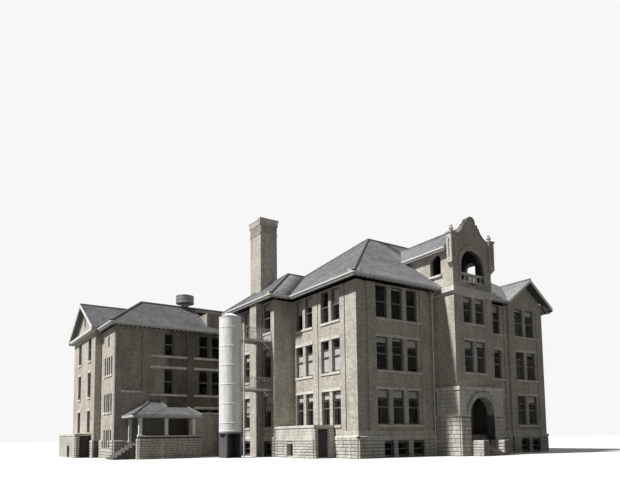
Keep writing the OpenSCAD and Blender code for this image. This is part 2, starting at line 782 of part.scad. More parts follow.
module belfry_walls() {
  z0 = string_z + string_h;
  back_y = belfry_back - wall_t + 50;
  w = side_arch_y[1] - side_arch_y[0];
  spring = side_arch_top - w / 2;
  under = tower_eave + tower_rise * (tower_eave_out) - roof_t;
  mid_under = tower_eave + tower_rise * (tower_w / 2 + tower_eave_out) - roof_t;
  color(brick) put() {
    for (x = [tower_x, tower_x + tower_w - wall_t]) {
      translate([x, -tower_out + wall_t + gap, z0])
        cube([wall_t, side_arch_y[0] - gap + tower_out - wall_t - gap, under - z0]);
      translate([x, side_arch_y[1] + gap, z0])
        cube([wall_t, belfry_back - side_arch_y[1] - gap, under - z0]);
      translate([x, side_arch_y[0], z0]) cube([wall_t, w, side_arch_sill - z0]);
      difference() {
        translate([x, side_arch_y[0], spring]) cube([wall_t, w, under - spring]);
        translate([x - over, (side_arch_y[0] + side_arch_y[1]) / 2, spring]) rotate([0, 90, 0])
          cylinder(d = w, h = wall_t + 2 * over, $fn = 48);
      }
    }
    translate([tower_mid, belfry_back, 0]) rotate([90, 0, 0]) linear_extrude(height = belfry_back - back_y)
      polygon([[-tower_w / 2 + wall_t + gap, belfry_floor_z], [tower_w / 2 - wall_t - gap, belfry_floor_z],
        [tower_w / 2 - wall_t - gap, under + tower_rise * wall_t], [0, mid_under],
        [-tower_w / 2 + wall_t + gap, under + tower_rise * wall_t]]);
  }
}

module belfry_balustrade() {
  foot = belfry_floor_z + 100;
  rail_h = 150;
  rail_d = 260;
  y = -tower_out + wall_t / 2;
  post_h = rail_z - foot - 2 * rail_h;
  spacing = arch_w / baluster_count;
  color(limestone) put() translate([tower_mid, y, foot]) {
    for (z = [0, rail_z - foot - rail_h])
      translate([-arch_w / 2, -rail_d / 2, z]) cube([arch_w, rail_d, rail_h]);
    for (i = [0 : baluster_count - 1]) translate([(i + 0.5) * spacing - arch_w / 2, 0, rail_h])
      rotate_extrude($fn = 32) polygon([[0, -5], [90, -5], [90, 40], [60, 60], [95, 170], [55, 330],
        [85, post_h - 30], [85, post_h + 5], [0, post_h + 5]]);
  }
}

module corner_piers() {
  w = 650;
  d = 550;
  foot = 15900;
  top = 18380;
  cap_out = 70;
  tip = 19150;
  out = 300;
  front = 200;
  slot_w = 130;
  slot_deep = 90;
  slot_end = 450;
  corbels = 2;
  corbel_h = 130;
  color(limestone) put() for (s = [0, 1]) translate([s * 2 * tower_mid, 0, 0]) mirror([s, 0, 0])
    translate([tower_x - out, -tower_out - front, 0]) {
      difference() {
        translate([0, 0, foot]) union() {
          cube([out, d, top - foot]);
          cube([w, front, top - foot]);
        }
        // One upright slot in each outer face
        translate([(w - slot_w) / 2, -over, foot + slot_end])
          cube([slot_w, slot_deep + over, top - foot - 2 * slot_end]);
        translate([-over, (d - slot_w) / 2, foot + slot_end])
          cube([slot_deep + over, slot_w, top - foot - 2 * slot_end]);
      }
      // Corbel courses that step back to the wall
      for (i = [1 : corbels])
        let (k = i / (corbels + 1)) translate([out * k, front * k, foot - i * corbel_h]) {
          cube([out * (1 - k), d - front * k, corbel_h]);
          cube([w - out * k, front * (1 - k), corbel_h]);
        }
      translate([-cap_out, -cap_out, top]) cube([w + 2 * cap_out, d + 2 * cap_out, 120]);
      translate([w / 2, d / 2, top + 110]) rotate_extrude($fn = 32) polygon([[0, 0], [230, 0], [230, 80],
        [120, 130], [110, 170], [190, 260], [205, 340], [160, 420], [75, 465], [70, 500], [115, 555],
        [105, 615], [0, tip - top - 110]]);
    }
}

module tower_roof() {
  edge = tower_x - tower_eave_out;
  edge2 = tower_x + tower_w + tower_eave_out;
  front = -tower_out + wall_t;
  side_meet = roof_y1 + (tower_eave - eave_h) / hip_rise;
  mid_meet = roof_y1 + (tower_eave + tower_rise * (tower_mid - edge) - eave_h) / hip_rise;
  color(shingle) put() difference() {
    union() {
      slab_x([[edge, front], [tower_mid, front], [tower_mid, mid_meet], [edge, side_meet]],
        edge, tower_eave, tower_rise);
      slab_x([[tower_mid, front], [edge2, front], [edge2, side_meet], [tower_mid, mid_meet]],
        edge2, tower_eave, -tower_rise);
    }
    under_front_slope();
  }
}

chimney = [-450, 14150, 1850, 2100];

module chimney_shaft() {
  t = 300;
  top = chimney_h - 500;
  x = chimney[0];
  y = chimney[1];
  w = chimney[2];
  d = chimney[3];
  color(brick) put() {
    for (dx = [0, w - t]) translate([x + dx, y, ground_slab_t]) cube([t, d, top - ground_slab_t]);
    for (dy = [0, d - t]) translate([x + t + gap, y + dy, ground_slab_t])
      cube([w - 2 * t - 2 * gap, t, top - ground_slab_t]);
  }
}

module chimney_cap() {
  // Courses that step outwards: how far out, foot below the top, height
  steps = [[50, 500, 140], [90, 360, 180], [140, 180, 180]];
  flue = 500;
  color(limestone) put() translate([chimney[0], chimney[1], 0]) difference() {
    union() for (c = steps) translate([-c[0], -c[0], chimney_h - c[1]])
      cube([chimney[2] + 2 * c[0], chimney[3] + 2 * c[0], c[2]]);
    translate([chimney[2] / 2 - flue / 2, chimney[3] / 2 - flue / 2, chimney_h - 500 - over])
      cube([flue, flue, 500 + 2 * over]);
  }
}

vest_y = 3000;
vest_h = 2400;
vest_t = 350;
vest_door = [-1155, 910, 100, 2200];
// The vestibule ends here, clear of the window sills over it.
vest_in = -sill_out - gap;

module side_vestibule() {
  side_end = step_y - base_out - gap;
  color(limestone) put() {
    on_left(rear_x, side_end) plain_wall(side_end - vest_y - vest_t - gap, 0, vest_h,
      [[side_end - 6500, basement_z, 900, 1000]], [], vest_t);
    translate([rear_x, vest_y, 0]) cube([vest_door[0] - vest_door[1] / 2 - rear_x, vest_t, vest_h]);
    translate([vest_door[0] - vest_door[1] / 2 + gap, vest_y, 0])
      cube([vest_door[1] - 2 * gap, vest_t, vest_door[2]]);
    translate([vest_door[0] + vest_door[1] / 2, vest_y, 0])
      cube([vest_in - vest_door[0] - vest_door[1] / 2, vest_t, vest_h]);
    translate([vest_door[0] - vest_door[1] / 2 + gap, vest_y, vest_door[2] + vest_door[3]])
      cube([vest_door[1] - 2 * gap, vest_t, vest_h - vest_door[2] - vest_door[3]]);
    translate([rear_x + vest_t + gap, vest_y + vest_t + gap, 0])
      cube([vest_in - rear_x - vest_t - gap, side_end - vest_y - vest_t - gap, vest_door[2]]);
  }
}

module side_vestibule_coping() {
  out = 80;
  color(limestone) put() translate([rear_x - out, vest_y - out, vest_h])
    cube([vest_in - rear_x + out, step_y - gap - base_out - vest_y + out, 200]);
}

// A door leaf with its hinge knuckles on the left edge of its outer face
module hinged_leaf(w, h) {
  knuckle_r = 10;
  knuckle_h = 120;
  cube([w, 60, h]);
  for (z = [0.12, 0.5, 0.88]) translate([knuckle_r, 0, z * h - knuckle_h / 2])
    cylinder(r = knuckle_r, h = knuckle_h, $fn = 32);
}

door_play = 8;

module side_door() {
  color(door_paint) put()
    translate([vest_door[0] - vest_door[1] / 2 + door_play, vest_y + 40, vest_door[2] + door_play])
      hinged_leaf(vest_door[1] - 2 * door_play, vest_door[3] - 2 * door_play);
}

tube_x = -5400;
tube_y = 10700;
tube_foot = 2150;

// A round wall in curved plates with a narrow joint between them
module plated_ring(d, bore, h, plates) {
  joint = 0.12;
  turn = 360 / plates - 2 * joint;
  for (i = [0 : plates - 1]) intersection() {
    difference() {
      cylinder(d = d, h = h, $fn = 96);
      translate([0, 0, -over]) cylinder(d = bore, h = h + 2 * over, $fn = 96);
    }
    rotate([0, 0, i * 360 / plates + joint]) linear_extrude(height = h)
      polygon([[0, 0], [d, 0], [d * cos(turn), d * sin(turn)]]);
  }
}

module slide_tube() {
  t = 60;
  color(concrete) put() translate([tube_x, tube_y, tube_foot])
    plated_ring(tube_d, tube_d - 2 * t, tube_top - tube_foot, 12);
}

module slide_tube_cap() {
  color(metal_paint) put() translate([tube_x, tube_y, tube_top])
    cylinder(d1 = tube_d + 80, d2 = 500, h = 350, $fn = 96);
}

tube_base_x = [tube_x - 700, tube_x + 700];
tube_base_y = [tube_y - 750, tube_y + 750];

module slide_tube_base() {
  t = 150;
  w = tube_base_x[1] - tube_base_x[0];
  d = tube_base_y[1] - tube_base_y[0];
  color(concrete) put() translate([tube_base_x[0], tube_base_y[0], 0]) {
    for (x = [0, w - t]) translate([x, 0, 0]) cube([t, d, tube_foot - 120 - gap]);
    translate([t + gap, d - t, 0]) cube([w - 2 * t - 2 * gap, t, tube_foot - 120 - gap]);
    translate([w / 2, d / 2, tube_foot - 120]) plated_ring(tube_d + 60, tube_d - 700, 120, 8);
  }
}

balcony_z = [5850, 10150];
balcony_y = [9520, 11050];
deck_t = 120;

module fire_balconies() {
  x1 = tube_x + tube_d / 2 + 10;
  color(concrete) put() for (z = balcony_z) translate([x1, balcony_y[0], z - deck_t])
    cube([rear_x - x1, balcony_y[1] - balcony_y[0], deck_t]);
}

// Steel struts from the wall to the underside of each deck
module balcony_braces() {
  reach_out = 900;
  bar_w = 50;
  bar_h = 85;
  color(metal_paint) put() for (z = balcony_z) for (y = [balcony_y[0], balcony_y[1] - bar_w])
    translate([rear_x, y + bar_w, z - deck_t]) rotate([90, 0, 0]) linear_extrude(height = bar_w)
      polygon([[0, -reach_out], [0, bar_h - reach_out], [bar_h - reach_out, 0], [-reach_out, 0]]);
}

module balcony_railings() {
  x1 = tube_x + tube_d / 2 + 40;
  len = rear_x - sill_out - gap - x1;
  bars = 12;
  bar = 25;
  rail = 40;
  color(metal_paint) put() for (z = balcony_z) for (y = [balcony_y[0], balcony_y[1] - rail])
    translate([x1, y, z]) {
      for (h = [80, 1000]) translate([0, 0, h]) cube([len, rail, rail]);
      for (i = [0 : bars]) translate([i * (len - bar) / bars, 8, 0]) cube([bar, bar, 1010]);
    }
}

link_bay_x = -4900;
link_bay_y = 20000;
link_bay_top = 13700;

module link_bay() {
  t = 300;
  w = rear_x - link_bay_x;
  d = link_bay_y - wing_y;
  z0 = wing_eave + 20;
  color(shade_brick) put() translate([link_bay_x, wing_y, 0]) {
    translate([0, 0, z0]) cube([w, t, link_bay_top - 150 - z0]);
    translate([0, t + gap, z0]) cube([t, d - 2 * t - 2 * gap, link_bay_top - 150 - z0]);
    translate([0, d - t, z0]) cube([w, t, link_bay_top - 150 - z0]);
    translate([0, -60, link_bay_top - 150 + gap]) cube([w, d + 60, 150 - gap]);
  }
}

annex_top = 4050;
annex_x = [-6900, -3860];
annex_y = [16200, 15300];
annex_out = 50;

module link_annex() {
  t = 350;
  end_y = wing_y - base_out - gap;
  color(shade_brick) put() {
    // Left part
    translate([annex_x[0], annex_y[0], 0]) cube([t, end_y - annex_y[0], annex_top - 150]);
    translate([annex_x[0] + t + gap, annex_y[0], 0])
      cube([annex_x[1] - annex_x[0] - t - gap, t, annex_top - 150]);
    // Right part
    translate([annex_x[1] + gap, annex_y[1], 0])
      cube([rear_x - annex_x[1] - base_out - gap, t, annex_top - 150]);
    translate([annex_x[1] + gap, annex_y[1] + t + gap, 0])
      cube([t, annex_y[0] - annex_y[1], annex_top - 150]);
    translate([annex_x[0] - annex_out, annex_y[0] - annex_out, annex_top - 150 + gap])
      cube([annex_x[1] - annex_x[0], wing_y - annex_y[0] + annex_out, 150]);
    translate([annex_x[1] - annex_out + gap, annex_y[1] - annex_out, annex_top - 150 + gap])
      cube([rear_x - annex_x[1] + annex_out - gap, wing_y - annex_y[1] + annex_out, 150]);
  }
}

porch_x = [-12400, -6900];
porch_y = 13400;
porch_floor = 1350;

module porch_base() {
  t = 450;
  parapet = 1900;
  risers = 7;
  tread = 300;
  riser = porch_floor / risers;
  color(limestone) put() {
    translate([porch_x[0], porch_y, 0]) cube([porch_x[1] - porch_x[0], t, parapet]);
    translate([porch_x[0], porch_y + t + gap, 0])
      cube([porch_x[1] - porch_x[0], wing_y - porch_y - t - base_out - gap, porch_floor]);
    for (i = [0 : risers - 2])
      translate([porch_x[0] - (i + 1) * tread, porch_y + t + 300, 0])
        cube([tread - gap, wing_y - porch_y - t - base_out - 600, porch_floor - (i + 1) * riser]);
  }
}

module porch_posts() {
  w = 250;
  color(frame_paint) put() {
    for (x = [0, 2240, 4680]) translate([porch_x[0] + 60 + x, porch_y + 100, 1900]) cube([w, w, 1520]);
    translate([porch_x[0] + 60, wing_y - 400, porch_floor]) cube([w, w, 2070]);
  }
}

module porch_roof() {
  x1 = -12900;
  x2 = -6850;
  y1 = 13200;
  z = 3690;
  rise = 0.4;
  hip = 2600;
  // The tall part ends over the middle post, and a low part with a flat top runs on
  tall_x = [-9600, -9400];
  low_y = 15050;
  low_hip = 600;
  t = 200;
  eave = 150;
  ceiling_z = 3420;
  top = z + rise * (wing_y - y1);
  low_top = z + rise * (low_y - y1);
  color(shingle) put() difference() {
    union() {
      slab_y([[x1, y1], [x2, y1], [x2 - low_hip, low_y], [tall_x[1], low_y], [tall_x[0], wing_y],
        [x1 + hip, wing_y]], y1, z, rise, t);
      slab_x([[x1, y1], [x1 + hip, wing_y], [x1, wing_y]], x1, z, (top - z) / hip, t);
      slab_x([[tall_x[1], low_y], [tall_x[1], wing_y], [tall_x[0], wing_y]], tall_x[1], low_top,
        (top - low_top) / (tall_x[0] - tall_x[1]), t);
      slab_x([[x2, y1], [x2, wing_y], [x2 - low_hip, wing_y], [x2 - low_hip, low_y]], x2, z,
        (z - low_top) / low_hip, t);
      translate([tall_x[1] + gap, low_y + gap, low_top - t])
        cube([x2 - low_hip - tall_x[1] - 2 * gap, wing_y - low_y - 2 * gap, t]);
      translate([x1 + eave, y1 + eave, ceiling_z])
        cube([x2 - x1 - 2 * eave, wing_y - y1 - eave, z + eave * rise - t - ceiling_z]);
    }
    // The corner where the one-storey link stands
    translate([annex_x[0] - annex_out - gap, annex_y[0] - annex_out - gap, 0])
      cube([reach, reach, annex_top + 2 * gap]);
  }
}

module wing_stone_base() {
  low = basement_z;
  color(limestone) put() {
    translate([wing_x - base_out, wing_y, 0]) base_wall(rear_x - wing_x - gap,
      [for (x = bay_three_x) [x - wing_x + base_out, low, 1000, basement_h]]);
    on_left(wing_x, wing_gable_y - gap) base_wall(wing_gable_y - wing_y - wall_t - 2 * gap,
      [for (h = stair_windows()) if (h[1] < base_h) h - [gap, 0, 0, 0]]);
    on_left(wing_gable_x, wing_back) base_wall(wing_back - wing_gable_y,
      [for (y = gable_window_y) [wing_back - y, low, 1100, basement_h]], wing_x - wing_gable_x);
    on_back(wing_end, wing_back) base_wall(wing_end - wing_x - gap,
      [for (x = [-11000, -2000, 6500]) [wing_end - x, low, 1300, basement_h]]);
    on_right(wing_end, wing_y + base_out + gap)
      base_wall(wing_back - wing_y - wall_t - base_out - 2 * gap, []);
  }
}

module wing_front_wall() {
  top = wing_eave - roof_t;
  color(shade_brick) put() translate([wing_x, wing_y, 0])
    plain_wall(rear_x - wing_x, base_h, top, [for (h = wing_front_windows()) h - [wing_x, 0, 0, 0]],
      [[blind_bay[0] - wing_x, blind_bay[1] - wing_x, blind_foot, 11400],
        [bay_two[0] - wing_x, bay_two[1] - wing_x, 5200, 11500],
        [bay_three[0] - wing_x, bay_three[1] - wing_x, 2100, 11500]]);
}

// A tall round-ended hole, as wide as w and as high as h in all
module tall_hole(w, h, t) {
  for (s = [-1, 1]) translate([0, -over, s * (h - w) / 2]) rotate([-90, 0, 0])
    cylinder(d = w, h = t + 2 * over, $fn = 32);
  translate([-w / 2, -over, -(h - w) / 2]) cube([w, t + 2 * over, h - w]);
}

module wing_corner_wall() {
  top = wing_eave - roof_t;
  color(brick) put() on_left(wing_x, wing_gable_y + wall_t) difference() {
    plain_wall(wing_gable_y - wing_y, base_h, top, [for (h = stair_windows()) h + [wall_t, 0, 0, 0]]);
    translate([wing_gable_y + wall_t - corner_oval_at[0], 0, corner_oval_at[1]])
      tall_hole(corner_oval[0], corner_oval[1], wall_t);
  }
}

module wing_gable_wall() {
  len = wing_back - wing_gable_y;
  t = wing_x - wing_gable_x;
  mid = wing_back - wing_gable_mid;
  apex = wing_gable_eave + gable_rise * (wing_gable_mid - wing_eave_y) - roof_t;
  color(brick) put() on_left(wing_gable_x, wing_back) difference() {
    translate([0, t, 0]) rotate([90, 0, 0]) linear_extrude(height = t)
      polygon([[0, base_h], [len, base_h], [len, apex - gable_rise * (len - mid)], [mid, apex],
        [0, apex - gable_rise * mid]]);
    for (h = gable_windows()) hole(h, t);
    translate([mid, 0, gable_oval_z]) tall_hole(gable_oval[0], gable_oval[1], t);
  }
}

module wing_rear_walls() {
  top = wing_eave - roof_t;
  valley = 22270;
  under = roof_t + 3 * gap;
  ridge = wing_eave + hip_rise * (wing_ridge_y - wing_front_eave) - under;
  apex = wing_gable_eave + gable_rise * (wing_gable_mid - wing_eave_y) - under;
  foot = wing_eave + hip_rise * (wing_y - wing_front_eave) - under;
  dip = wing_eave + hip_rise * (2 * wing_ridge_y - wing_front_eave - valley) - under;
  tail = apex - gable_rise * (wing_back - wall_t - wing_gable_mid);
  back_top = apex - gable_rise * (wing_back - wing_gable_mid);
  color(shade_brick) put() {
    on_back(wing_end, wing_back) plain_wall(wing_end - wing_x, base_h, back_top, wing_back_windows());
    on_right(wing_end, wing_y + gap) difference() {
      translate([0, wall_t, 0]) rotate([90, 0, 0]) linear_extrude(height = wall_t) {
        polygon([[0, base_h], [valley - wing_y, base_h], [valley - wing_y, dip],
          [wing_ridge_y - wing_y, ridge], [0, foot]]);
        polygon([[valley - wing_y + gap, base_h], [wing_back - wall_t - wing_y - 2 * gap, base_h],
          [wing_back - wall_t - wing_y - 2 * gap, tail], [wing_gable_mid - wing_y, apex],
          [valley - wing_y + gap, dip]]);
      }
      for (h = wing_right_windows()) hole(h, wall_t);
    }
  }
}

module wing_floors() {
  color(concrete) put() for (i = [0 : len(wing_floor_tops) - 1]) {
    t = i == 0 ? ground_slab_t : slab_t;
    translate([wing_x + wall_t, wing_y + wall_t, wing_floor_tops[i] - t])
      cube([wing_end - wing_x - 2 * wall_t, wing_back - wing_y - 2 * wall_t, t]);
  }
}

module wing_roof() {
  ridge_x = wing_hip_x + wing_ridge_y - wing_front_eave;
  back_eave = 2 * wing_ridge_y - wing_front_eave;
  valley = 22270;
  hip_valley_x = wing_hip_x + back_eave - valley;
  color(shingle) put() {
    slab_y([[wing_hip_x, wing_front_eave], [link_bay_x, wing_front_eave], [link_bay_x, wing_ridge_y],
      [ridge_x, wing_ridge_y]], wing_front_eave, wing_eave, hip_rise);
    slab_y([[link_bay_x, wing_front_eave], [rear_x, wing_front_eave], [rear_x, wing_y], [link_bay_x, wing_y]],
      wing_front_eave, wing_eave, hip_rise);
    slab_y([[rear_x, wing_y], [wing_roof_end, wing_y], [wing_roof_end, wing_ridge_y], [rear_x, wing_ridge_y]],
      wing_front_eave, wing_eave, hip_rise);
    slab_x([[wing_hip_x, wing_front_eave], [ridge_x, wing_ridge_y], [hip_valley_x, valley],
      [-13730, wing_eave_y], [wing_hip_x, wing_eave_y]], wing_hip_x, wing_eave, hip_rise);
    slab_y([[ridge_x, wing_ridge_y], [wing_roof_end, wing_ridge_y], [wing_roof_end, valley],
      [hip_valley_x, valley]], back_eave, wing_eave, -hip_rise);
  }
}

module wing_gable_roof() {
  valley = 22270;
  back = 2 * wing_gable_mid - wing_eave_y;
  color(shingle) put() {
    slab_y([[wing_roof_start, wing_eave_y], [-13730, wing_eave_y], [-12570, valley], [-12570, wing_gable_mid],
      [wing_roof_start, wing_gable_mid]], wing_eave_y, wing_gable_eave, gable_rise);
    slab_y([[-12570, valley], [wing_roof_end, valley], [wing_roof_end, wing_gable_mid],
      [-12570, wing_gable_mid]], wing_eave_y, wing_gable_eave, gable_rise);
    slab_y([[wing_roof_start, wing_gable_mid], [wing_roof_end, wing_gable_mid], [wing_roof_end, back],
      [wing_roof_start, back]], back, wing_gable_eave, -gable_rise);
  }
}

module wing_cornice() {
  out = 500;
  end = 380;
  color(frame_paint) put() translate([wing_gable_x - out, wing_eave_y + end, 11880])
    cube([out, 2 * (wing_gable_mid - wing_eave_y - end), 220]);
}

module roof_ventilator() {
  ridge_z = wing_eave + hip_rise * (wing_ridge_y - wing_front_eave);
  color(metal_paint) put() translate([-5900, wing_ridge_y, ridge_z])
    rotate_extrude($fn = 48)
      polygon([[0, 20], [375, 20], [375, 350], [875, 380], [875, 1150], [700, 1220], [0, 1330]]);
}

wing_annex_x = -15500;
wing_annex_y = [22500, 30000];
wing_annex_h = 2050;
wing_door_x = [-15100, -14160];

module wing_annex() {
  t = 300;
  color(limestone) put() {
    on_left(wing_annex_x, wing_annex_y[1]) plain_wall(wing_annex_y[1] - wing_annex_y[0], 0, wing_annex_h,
      [[wing_annex_y[1] - 25400, 100, 1000, 950]], [], t);
    translate([wing_annex_x + t + gap, wing_annex_y[1] - t, 0])
      cube([wing_gable_x - base_out - wing_annex_x - t - gap, t, wing_annex_h]);
    translate([wing_annex_x + t + gap, wing_annex_y[0], 0])
      cube([wing_door_x[0] - wing_annex_x - t - gap, t, wing_annex_h]);
    translate([wing_door_x[0] + gap, wing_annex_y[0], 0])
      cube([wing_door_x[1] - wing_door_x[0] - gap, t, 100]);
    translate([wing_annex_x + t + gap, wing_annex_y[0] + t + gap, 0])
      cube([wing_gable_x - base_out - wing_annex_x - t - gap,
        wing_annex_y[1] - wing_annex_y[0] - 2 * t - 2 * gap, 100]);
  }
}

module wing_annex_coping() {
  out = 50;
  color(limestone) put() translate([wing_annex_x - out, wing_annex_y[0] - out, wing_annex_h])
    cube([wing_gable_x - sill_out - gap - wing_annex_x + out,
      wing_annex_y[1] - wing_annex_y[0] + 2 * out, 200]);
}

module wing_door() {
  foot = 100;
  color(door_paint) put() translate([wing_door_x[0] + door_play, wing_annex_y[0] + 40, foot + door_play])
    hinged_leaf(wing_door_x[1] - wing_door_x[0] - 2 * door_play, wing_annex_h - foot - 2 * door_play);
}

module wing_windows(part) {
  front = bay_recess + 120;
  plain = 130;
  translate([0, wing_y, 0]) {
    for (h = wing_front_windows()) one_window(part, h, front);
    for (x = bay_three_x) one_window(part, [x, basement_z, 1000, basement_h], plain);
  }
  on_left(wing_x, wing_gable_y) for (h = stair_windows()) one_window(part, h, plain);
  on_left(wing_gable_x, wing_back) {
    for (h = gable_windows()) one_window(part, h, plain);
    for (y = gable_window_y) one_window(part, [wing_back - y, basement_z, 1100, basement_h], plain);
  }
  on_back(wing_end, wing_back) {
    for (h = wing_back_windows()) one_window(part, h, plain);
    for (x = [-11000, -2000, 6500]) one_window(part, [wing_end - x, basement_z, 1300, basement_h], plain);
  }
  on_right(wing_end, wing_y) for (h = wing_right_windows()) one_window(part, h + [gap, 0, 0, 0], plain);
}

module wing_window_frames() {
  color(frame_paint) put() wing_windows("frame");
}

module wing_window_glass() {
  color(glass_tint) put() wing_windows("glass");
}

module downpipes() {
  d = 110;
  color(metal_paint) put() {
    translate([rear_x - base_out - d / 2 - gap, 15100, 0]) cylinder(d = d, h = brick_top, $fn = 24);
    translate([front_left_len - stone_side - band_out - d, -d / 2 - base_out - gap, 0])
      cylinder(d = d, h = brick_top, $fn = 24);
  }
}

main_stone_base();
front_wall();
pavilion_wall();
left_side_wall();
rear_side_walls();
right_side_wall();
back_wall();
main_floors();
main_roof();
pavilion_roof();
stone_sills();
main_window_frames();
main_window_glass();
entrance_piers();
entrance_arch();
entrance_band();
entrance_steps();
vestibule_wall();
entrance_doors();
tower_walls();
string_course();
belfry_front();
belfry_walls();
belfry_balustrade();
corner_piers();
tower_roof();
chimney_shaft();
chimney_cap();
side_vestibule();
side_vestibule_coping();
side_door();
slide_tube();
slide_tube_cap();
slide_tube_base();
fire_balconies();
balcony_braces();
balcony_railings();
link_bay();
link_annex();
porch_base();
porch_posts();
porch_roof();
wing_stone_base();
wing_front_wall();
wing_corner_wall();
wing_gable_wall();
wing_rear_walls();
wing_floors();
wing_roof();
wing_gable_roof();
wing_cornice();
roof_ventilator();
wing_annex();
wing_annex_coping();
wing_door();
wing_window_frames();
wing_window_glass();
downpipes();
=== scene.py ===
import math
import random

import bpy
from mathutils import Matrix, Vector


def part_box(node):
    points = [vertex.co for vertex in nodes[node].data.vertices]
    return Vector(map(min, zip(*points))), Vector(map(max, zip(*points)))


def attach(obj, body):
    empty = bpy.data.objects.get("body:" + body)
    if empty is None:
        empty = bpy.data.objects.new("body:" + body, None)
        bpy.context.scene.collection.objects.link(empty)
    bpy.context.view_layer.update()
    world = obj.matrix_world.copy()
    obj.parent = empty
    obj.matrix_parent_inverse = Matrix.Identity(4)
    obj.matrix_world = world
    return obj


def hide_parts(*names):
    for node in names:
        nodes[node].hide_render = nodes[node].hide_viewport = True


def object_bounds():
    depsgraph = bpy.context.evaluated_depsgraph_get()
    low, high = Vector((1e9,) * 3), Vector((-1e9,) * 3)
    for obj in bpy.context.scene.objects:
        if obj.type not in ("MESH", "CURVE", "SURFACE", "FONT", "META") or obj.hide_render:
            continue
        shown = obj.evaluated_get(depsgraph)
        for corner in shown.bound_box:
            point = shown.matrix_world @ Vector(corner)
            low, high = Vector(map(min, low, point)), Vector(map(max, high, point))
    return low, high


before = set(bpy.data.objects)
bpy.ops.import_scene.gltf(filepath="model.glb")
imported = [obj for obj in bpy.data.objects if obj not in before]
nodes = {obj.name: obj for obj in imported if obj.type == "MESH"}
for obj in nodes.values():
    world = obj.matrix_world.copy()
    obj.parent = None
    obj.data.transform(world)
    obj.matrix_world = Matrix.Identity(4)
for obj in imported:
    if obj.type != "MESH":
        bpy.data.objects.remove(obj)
cad_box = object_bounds()
ROOT = "building"

# Standpoint across the street, at eye height, by the front left corner. The
# lens is tilted up a little and shifted, so that the tall walls stay upright.
STAND = Vector((-31.06, -46.95, 1.67))
HEADING = math.radians(-33.9)
TILT = math.radians(5.0)
ROLL = math.radians(-0.7)


def put_in(name, data):
    """A new object in the scene."""
    made = bpy.data.objects.new(name, data)
    bpy.context.scene.collection.objects.link(made)
    return made


view = bpy.data.cameras.new("street_view")
view.lens = 32.81
view.sensor_width = 36.0
view.shift_y = 0.222
view.clip_end = 400.0
camera = put_in("street_view", view)
camera.matrix_world = (Matrix.Translation(STAND) @ Matrix.Rotation(HEADING, 4, "Z")
                       @ Matrix.Rotation(math.radians(90) + TILT, 4, "X") @ Matrix.Rotation(ROLL, 4, "Z"))
bpy.context.scene.camera = camera
bpy.context.scene.view_settings.view_transform = "Standard"

# Overcast sky with a soft sun from the left and behind, so the left sides are
# bright and the fronts are in open shade. The sky that shows is nearly white.
SUN_TRAVEL = Vector((1.0, -0.19, -1.2))


def feed(tree, made, values):
    """Sets inputs of a node, each to a value or by a link from a socket."""
    for name, value in values.items():
        if isinstance(value, bpy.types.NodeSocket):
            tree.links.new(value, made.inputs[name])
        else:
            made.inputs[name].default_value = value


def wired(tree, kind, values):
    """The outputs of a new node of a kind, with its inputs set."""
    made = tree.nodes.new("ShaderNode" + kind)
    feed(tree, made, values)
    return made.outputs


def measured(tree, operation, first, second):
    """The result of a sum on two sockets or values."""
    sum_node = tree.nodes.new("ShaderNodeMath")
    sum_node.operation = operation
    feed(tree, sum_node, {0: first, 1: second})
    return sum_node.outputs[0]


world = bpy.data.worlds.new("pale_sky")
bpy.context.scene.world = world
world.use_nodes = True
sky = world.node_tree
sky.nodes.clear()
ray = wired(sky, "LightPath", {})
seen = measured(sky, "MAXIMUM", ray["Is Camera Ray"], ray["Is Glossy Ray"])
seen = measured(sky, "MAXIMUM", seen, ray["Is Transmission Ray"])
sky_light = wired(sky, "Background", {"Color": (0.98, 0.99, 1.0, 1), "Strength": 0.13})
sky_seen = wired(sky, "Background", {"Color": (0.93, 0.93, 0.93, 1), "Strength": 1.0})
sky_mix = wired(sky, "MixShader", {"Fac": seen, 1: sky_light[0], 2: sky_seen[0]})
wired(sky, "OutputWorld", {"Surface": sky_mix[0]})
sun = bpy.data.lights.new("low_sun", "SUN")
sun.energy = 5.3
sun.angle = math.radians(4)
put_in("low_sun", sun).rotation_euler = SUN_TRAVEL.to_track_quat("-Z", "Y").to_euler()


# A plain pale floor, which lights the building from below like dull ground.
def node_finish(name):
    """A new material with its node tree and its surface shader."""
    made = bpy.data.materials.new(name)
    made.use_nodes = True
    return made, made.node_tree, made.node_tree.nodes["Principled BSDF"]


def mixed(tree, factor, first, second, blend="MIX"):
    """One colour of two, mixed by a factor."""
    mix = tree.nodes.new("ShaderNodeMix")
    mix.data_type = "RGBA"
    mix.blend_type = blend
    feed(tree, mix, {"Factor": factor, "A": first, "B": second})
    return mix.outputs["Result"]


floor_finish, floor_tree, floor_shader = node_finish("pale_floor")
floor_seen = wired(floor_tree, "LightPath", {})["Is Camera Ray"]
floor_colour = mixed(floor_tree, floor_seen, (0.16, 0.16, 0.155, 1), (0.80, 0.80, 0.79, 1))
feed(floor_tree, floor_shader, {"Base Color": floor_colour, "Roughness": 0.9})
bpy.ops.mesh.primitive_plane_add(size=900, location=(0, 0, 0))
floor = bpy.context.object
floor.name = "floor"
floor.data.materials.append(floor_finish)


